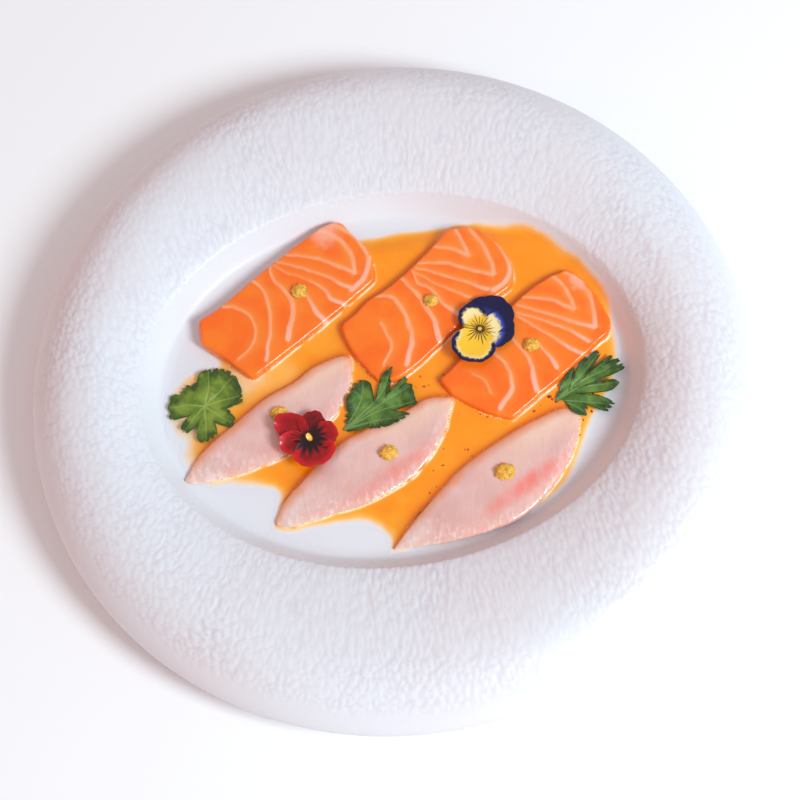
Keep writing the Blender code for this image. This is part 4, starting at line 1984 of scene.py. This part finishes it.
SALMON_1 = (
    FatLine(((-20, 15), (-16.5, 11), (-15, 6), (-16.5, 0), (-22, -5.5), (-30, -6)), 0.5, 0.25),
    FatLine(((-4.5, 16), (-4, 10), (-6.5, 3), (-12, -4), (-22, -14)), 0.45, 0.6),
    FatLine(((6, 17.5), (3, 13), (2, 8), (2, 1.5), (0, -4), (-10.5, -13)), 0.25, 0.95),
    FatLine(((6.5, 15.5), (7.5, 9.5), (10, 5.5), (12.5, 0)), 0.3, 0.2, 0.6),
    FatLine(((7.5, -4), (5.5, -11), (5.5, -17)), 0.5, 1.0),
    FatLine(((12.5, 0.5), (14, -6.5), (13.5, -11), (15.5, -16.5)), 0.3, 0.75),
    FatLine(((8, 16), (14.5, 5), (19, -4), (20.5, -9.5), (23, -14)), 0.3, 0.7),
    FatLine(((12.5, 16), (20, 7.5), (24, -1), (27.5, -9)), 0.3, 0.75),
    FatLine(((27.5, -9), (31, -4.5), (33, 2), (32, 10), (30, 15)), 0.75, 0.8),
    FatLine(((35, 14), (37.5, 7), (38, -1), (36, -8), (29, -13), (22, -14)), 0.9, 0.9),
)
SALMON_2 = (
    FatLine(((-20.5, 4.5), (-21.5, -1), (-24, -6), (-31, -9.5)), 0.5, 0.3),
    FatLine(((-15, 16), (-10, 11), (-10, 5), (-12, -2), (-15, -8), (-24, -15)), 0.5, 0.9),
    FatLine(((-2, 15), (-1.5, 8.5), (-2, 1.5), (-4, -8), (-8, -16)), 0.35, 1.0),
    FatLine(((3.5, 13.5), (2, 8), (4, 2.5), (3.5, -5), (5, -13.5)), 0.25, 0.7),
    FatLine(((3.5, 13.5), (7, 3), (13, -10)), 0.25, 0.4, 0.8),
    FatLine(((5.5, 13.5), (12.5, 3), (16.5, -4.5), (20.5, -12.5)), 0.3, 0.6),
    FatLine(((7.5, 15), (16, 7), (22, -2.5), (26.5, -9)), 0.35, 0.75),
    FatLine(((26.5, -9), (29.5, -4), (32.5, 5), (33, 14)), 0.75, 0.6),
    FatLine(((16, 17), (21.5, 11), (25, 4)), 0.4, 0.8),
    FatLine(((25, 4), (27, 10.5), (29, 17)), 0.8, 0.5),
    FatLine(((37.5, 10), (37, 2), (33.5, -10), (28, -14), (22, -14)), 0.4, 0.9),
)
SALMON_3 = (
    FatLine(((-23, 4), (-21.5, -1.5), (-23, -7)), 0.25, 0.35, 0.7),
    FatLine(((-11, 5), (-11, -1), (-12.5, -6), (-16, -11), (-24.5, -14)), 0.35, 0.85),
    FatLine(((-1.5, 7), (-2, -1), (-3.5, -8), (-9.5, -18)), 0.3, 0.9),
    FatLine(((4.5, -4), (4, -10.5), (3, -16)), 0.3, 0.8),
    FatLine(((6, 11), (9.5, -2.5), (12, -12), (14, -18)), 0.3, 0.6),
    FatLine(((7, 12), (13, 1.5), (17.5, -8), (19.5, -16)), 0.3, 0.6),
    FatLine(((9.5, 14), (15.5, 4), (19.5, -3.5), (25, -13)), 0.35, 0.7),
    FatLine(((25, -13), (29, -8.5), (33.5, -0.5), (34.5, 7), (33, 13)), 0.75, 0.5),
    FatLine(((13.5, 15), (19.5, 8.5), (24.5, -2)), 0.35, 0.75),
    FatLine(((24.5, -2), (27, 3), (28.5, 9.5), (28, 15)), 0.75, 0.45),
)

BLUE_PETALS = (
    Petal(243, 16.5, 17.5, 4, 0.72, start=-1.5), Petal(113, 13.0, 11.5, 3, 0.7, start=-1.5),
    Petal(352, 15.0, 15.5, 2, 0.6, start=-1.5), Petal(44, 17.5, 17.5, 1, 0.65, start=-1.5),
    Petal(78, 15.5, 14.0, 0, 0.65, start=-1.5),
)
RED_PETALS = (
    Petal(284, 14.2, 16.5, 4, 0.55, 0.7, -1.5), Petal(192, 12.6, 10.5, 2, 0.55, 0.9, -1.0),
    Petal(4, 12.2, 11.0, 3, 0.55, 0.9, -1.0), Petal(139, 16.4, 11.5, 1, 0.55, 0.9, -1.0),
    Petal(74, 12.2, 11.0, 0, 0.55, 0.8, -1.0),
)


SLICE_OUTLINES = {
    "salmon_1": (
        (-73.0, 34.6, 2), (-72.2, 25.0, 2), (-62.0, 15.4, 12), (-53.4, 7.0, 3), (-27.0, 24.0, 20),
        (-1.0, 43.2, 2), (-2.0, 55.0, 7), (-12.0, 70.8, 3), (-20.0, 69.6, 4), (-42.0, 56.0, 20),
        (-62.0, 40.4, 10),
    ),
    "salmon_2": (
        (-17.6, 25.0, 3), (-15.6, 15.0, 6), (-5.0, -1.4, 3), (2.6, -1.4, 3), (13.5, 5.6, 9),
        (29.0, 19.0, 12), (51.4, 32.4, 3), (53.6, 43.0, 7), (47.6, 54.6, 7), (38.6, 61.6, 5),
        (29.2, 61.4, 2), (21.0, 52.6, 10), (4.0, 39.2, 10), (-5.6, 34.6, 2), (-12.0, 28.8, 3),
    ),
    "salmon_3": (
        (18.0, -3.0, 2), (23.0, -11.6, 6), (34.0, -19.4, 9), (43.6, -23.6, 2), (65.2, -8.6, 8),
        (86.0, 7.6, 2), (87.8, 12.6, 4), (82.6, 27.0, 8), (74.6, 37.2, 3), (64.0, 34.4, 8),
        (50.0, 25.0, 20), (26.0, 3.4, 5), (21.6, -0.6, 2),
    ),
    "white_fish_1": (
        (-83.6, -31.0, 1.2), (-77.0, -32.4, 4), (-60.0, -30.4, 12), (-42.0, -26.6, 12),
        (-24.0, -14.4, 14), (-15.2, 0.0, 9), (-14.2, 12.0, 2), (-19.0, 13.2, 4), (-31.0, 9.6, 5),
        (-37.0, 4.4, 5), (-49.0, 0.0, 8), (-62.0, -9.8, 10), (-76.0, -19.0, 9),
    ),
    "white_fish_2": (
        (-50.6, -52.4, 1.5), (-46.0, -54.8, 3), (-30.0, -51.6, 12), (-12.0, -49.0, 14),
        (6.0, -40.6, 14), (18.0, -25.0, 14), (23.0, -10.4, 3), (13.0, -8.4, 7), (-2.0, -16.2, 16),
        (-20.0, -21.0, 14), (-37.0, -34.2, 10), (-46.6, -44.0, 6),
    ),
    "white_fish_3": (
        (-7.2, -68.4, 1.0), (8.0, -68.8, 9), (32.0, -66.6, 14), (48.0, -59.8, 12), (65.6, -40.0, 13),
        (70.4, -22.6, 3), (63.4, -19.8, 5), (44.0, -26.8, 14), (23.0, -38.4, 9), (11.0, -49.0, 9),
        (0.6, -58.2, 7),
    ),
}

POOL_OUTLINE = (
    (89.6, 5.0, 9), (89.6, 26.0, 9), (74.0, 50.6, 14), (58.0, 61.0, 14), (40.0, 65.6, 12),
    (8.0, 65.0, 12), (-8.0, 65.0, 3), (-14.0, 56.0, 4), (-50.0, 36.0, 12), (-74.4, 31.0, 3),
    (-71.4, 21.0, 4), (-66.0, 16.5, 4), (-76.0, 17.0, 6), (-86.0, 10.0, 5), (-89.5, 0.0, 5),
    (-88.0, -12.0, 4), (-82.0, -15.0, 3), (-84.6, -20.0, 2), (-82.0, -26.0, 3), (-79.0, -31.0, 3),
    (-72.0, -34.4, 4), (-60.0, -36.6, 6), (-48.0, -38.0, 4), (-50.0, -46.0, 4), (-52.6, -54.0, 3),
    (-46.0, -57.0, 4), (-30.0, -55.6, 9), (-14.0, -57.4, 6), (-9.0, -62.0, 4), (-9.4, -69.0, 2),
    (-4.0, -70.0, 2), (16.0, -66.0, 6), (44.0, -62.0, 9), (58.0, -53.6, 8), (66.6, -44.6, 8),
    (72.4, -30.0, 6), (80.0, -19.0, 5), (87.0, -9.0, 6),
)
SHALLOWS = (
    Shallow(-80.0, -2.0, 30.0, 0.84), Shallow(-60.0, 8.0, 17.0, 0.72), Shallow(-44.0, 8.0, 17.0, 0.60),
    Shallow(-64.0, -36.0, 17.0, 0.58), Shallow(-48.0, -46.0, 11.0, 0.60), Shallow(-24.0, -54.0, 14.0, 0.28),
    Shallow(-82.0, -24.0, 11.0, 0.75), Shallow(-4.0, -60.0, 8.0, 0.3), Shallow(-26.0, 24.0, 14.0, 0.34),
)

LEAVES = (
    CorianderLeaf(
        "coriander_1",
        Outline((
            (-75.5, 9.6, 0.4), (-74.4, 14.0, 3), (-67.0, 15.4, 3), (-61.0, 12.6, 3), (-58.2, 5.4, 3),
            (-57.8, -1.4, 1.5), (-64.2, -2.8, 0.3), (-61.4, -7.8, 1.5), (-63.6, -12.0, 1.5),
            (-69.2, -8.8, 0.3), (-69.0, -14.0, 1.5), (-74.5, -17.0, 2), (-77.8, -14.6, 1.5),
            (-76.6, -9.6, 0.3), (-82.0, -12.6, 1.5), (-83.4, -7.4, 1.2), (-79.4, -3.8, 0.3),
            (-86.8, -5.4, 1.5), (-88.4, 0.0, 2), (-86.4, 6.0, 2), (-82.4, 6.2, 1), (-80.0, 9.4, 1.5),
        ), (-73.3, -0.8)),
        (
            ((-73.3, -0.8), (-71.0, 6.0), (-70.6, 13.6)), ((-73.3, -0.8), (-67.4, 4.0), (-62.0, 9.4)),
            ((-73.3, -0.8), (-66.0, 0.8), (-59.6, 1.6)), ((-73.3, -0.8), (-68.6, -4.8), (-63.4, -9.4)),
            ((-73.3, -0.8), (-73.2, -8.0), (-73.6, -14.8)), ((-73.3, -0.8), (-77.8, -5.4), (-81.2, -9.8)),
            ((-73.3, -0.8), (-79.6, 0.6), (-86.0, 0.4)),
        ), teeth=21, tooth=0.11, seed=1.0, stiffness=0.15,
    ),
    CorianderLeaf(
        "coriander_2",
        Outline((
            (-21.0, -18.8, 1), (-19.2, -12.6, 4), (-18.0, -5.0, 2), (-14.0, 1.0, 2), (-8.4, 2.0, 1),
            (-7.6, -8.4, 0.3), (-4.0, 1.8, 2), (1.4, 4.4, 1), (-1.6, -5.6, 0.3), (5.6, 0.6, 1),
            (8.0, -3.6, 1.5), (9.0, -8.4, 1.5), (9.2, -11.6, 1), (0.6, -13.0, 0.3), (5.8, -15.8, 1),
            (0.6, -18.6, 2), (-5.0, -20.4, 3), (-12.6, -19.0, 3), (-15.6, -20.4, 2),
        ), (-8.0, -11.5)),
        (
            ((-20.4, -18.4), (-13.0, -8.0), (-11.0, 0.6)), ((-20.4, -18.4), (-6.0, -7.0), (0.6, 2.8)),
            ((-20.4, -18.4), (-6.0, -10.0), (6.6, -4.0)), ((-20.4, -18.4), (-6.0, -12.4), (7.6, -10.6)),
            ((-20.4, -18.4), (-8.0, -16.4), (3.0, -16.6)),
        ), teeth=17, tooth=0.15, seed=2.0,
    ),
    CorianderLeaf(
        "coriander_3",
        Outline((
            (61.0, -17.6, 0.6), (64.4, -17.6, 0.5), (67.6, -24.4, 1.5), (72.4, -26.0, 1.5),
            (73.4, -21.0, 0.4), (80.4, -25.0, 1), (84.0, -21.4, 1), (81.0, -18.0, 1),
            (70.4, -15.8, 0.3), (84.4, -16.2, 1), (88.6, -13.2, 1), (86.0, -11.2, 1),
            (76.4, -11.9, 0.3), (89.6, -8.0, 1), (89.6, -4.2, 1), (85.0, -1.0, 1), (76.0, -7.4, 0.3),
            (82.6, 0.8, 1), (79.0, 1.4, 1), (74.0, -1.8, 1), (69.0, -9.4, 0.4), (70.6, -4.4, 1),
            (65.0, -9.2, 1.5), (62.6, -14.0, 3),
        ), (66.5, -15.0)),
        (
            ((61.4, -17.2), (71.0, -10.0), (80.4, -0.4)), ((61.4, -17.2), (74.0, -10.2), (88.2, -5.4)),
            ((61.4, -17.2), (73.0, -13.2), (86.6, -13.2)), ((61.4, -17.2), (70.6, -19.2), (81.6, -21.4)),
            ((61.4, -17.2), (67.8, -20.4), (72.4, -24.0)),
        ), teeth=27, tooth=0.15, seed=3.0, stiffness=0.75,
    ),
)


DEEP_GREENS = (shade(62, 100, 26), shade(98, 136, 54), shade(24, 60, 12), shade(138, 166, 92))

VIOLAS = (
    (
        Viola("viola_blue", ViolaKind.PALE_FACE, (36.4, 14.8), BLUE_PETALS, 1.0),
        PetalFinish(
            "blue_petal", face=shade(250, 196, 48), cream=shade(250, 226, 160), outer=shade(9, 11, 66),
            mark=shade(14, 10, 30), glow=shade(48, 78, 190),
        ),
        "viola_blue_petal",
    ),
    (
        Viola("viola_red", ViolaKind.DARK_HEART, (-34.0, -21.6), RED_PETALS, 2.0, 0.014),
        PetalFinish(
            "red_petal", face=shade(248, 190, 70), cream=shade(250, 220, 150), outer=shade(168, 3, 8),
            mark=shade(30, 0, 5), glow=shade(214, 16, 30),
        ),
        "viola_red_petal",
    ),
)

SPECKS = (
    (
        Specks("sauce_specks", "orange_sauce", 20, 0.34 * MM, 1.5, (8, 72, -64, 0), 5),
        SpeckFinish("brown_speck", shade(206, 98, 26), shade(150, 70, 22)),
    ),
    (
        Specks("sauce_crumbs", "orange_sauce", 16, 0.55 * MM, 1.4, (52, 78, -27, -12), 9),
        SpeckFinish("rust_crumb", shade(196, 74, 22), shade(150, 46, 16)),
    ),
)


def main() -> None:
    """Builds the dish piece by piece, then the studio."""
    logging.basicConfig(level=logging.INFO, format="%(name)s: %(message)s")
    noise.seed_set(GRAIN_SEED)
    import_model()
    ground = Ground()
    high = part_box("plate")[1]
    Plate(radius=high[0], height=high[2]).build(GlazeFinish(), ground)

    slices = {node: Outline(corners, wander=0.0004) for node, corners in SLICE_OUTLINES.items()}
    salmon = SalmonFinish().material()
    salmon_slices = (
        (35.0, SALMON_1, (31.0, 13.0, 9.0)),
        (34.0, SALMON_2, (30.0, 12.0, 0.0)),
        (34.0, SALMON_3, (34.0, 6.0, 5.0)),
    )
    for number, (direction, lines, pale) in enumerate(salmon_slices, start=1):
        node = f"salmon_{number}"
        piece = SalmonSlice(
            node, slices[node], direction, seed=float(number), lines=lines, pale_spot=pale
        )
        piece.build(salmon, ground)
    white = WhiteFishFinish().material()
    for number, strength in ((1, 0.25), (2, 0.55), (3, 0.8)):
        node = f"white_fish_{number}"
        piece = WhiteSlice(
            node, slices[node], 30.0, seed=float(number + 3), rosy_strength=strength
        )
        piece.build(white, ground)
    outlines = list(slices.values())
    pool = Outline(POOL_OUTLINE)
    SaucePool(pool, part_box("sauce")[1][2], SHALLOWS).build(SauceFinish(), ground, outlines)

    paste = PasteFinish().material()
    for number, node in enumerate([f"paste_{kind}_{k}" for kind in ("salmon", "white") for k in (1, 2, 3)]):
        PasteDab(node, float(number)).build(paste, ground)
    bright = LeafFinish("bright_coriander").material()
    deep = LeafFinish("deep_coriander", *DEEP_GREENS).material()
    for leaf, green in zip(LEAVES, (bright, deep, deep)):
        leaf.build(green, ground)
    for viola, finish, slot in VIOLAS:
        viola.build(finish.material(), slot, ground)
    for specks, finish in SPECKS:
        specks.build(finish, ground, outlines, pool)

    Studio().build()


if __name__ == "__main__":
    main()
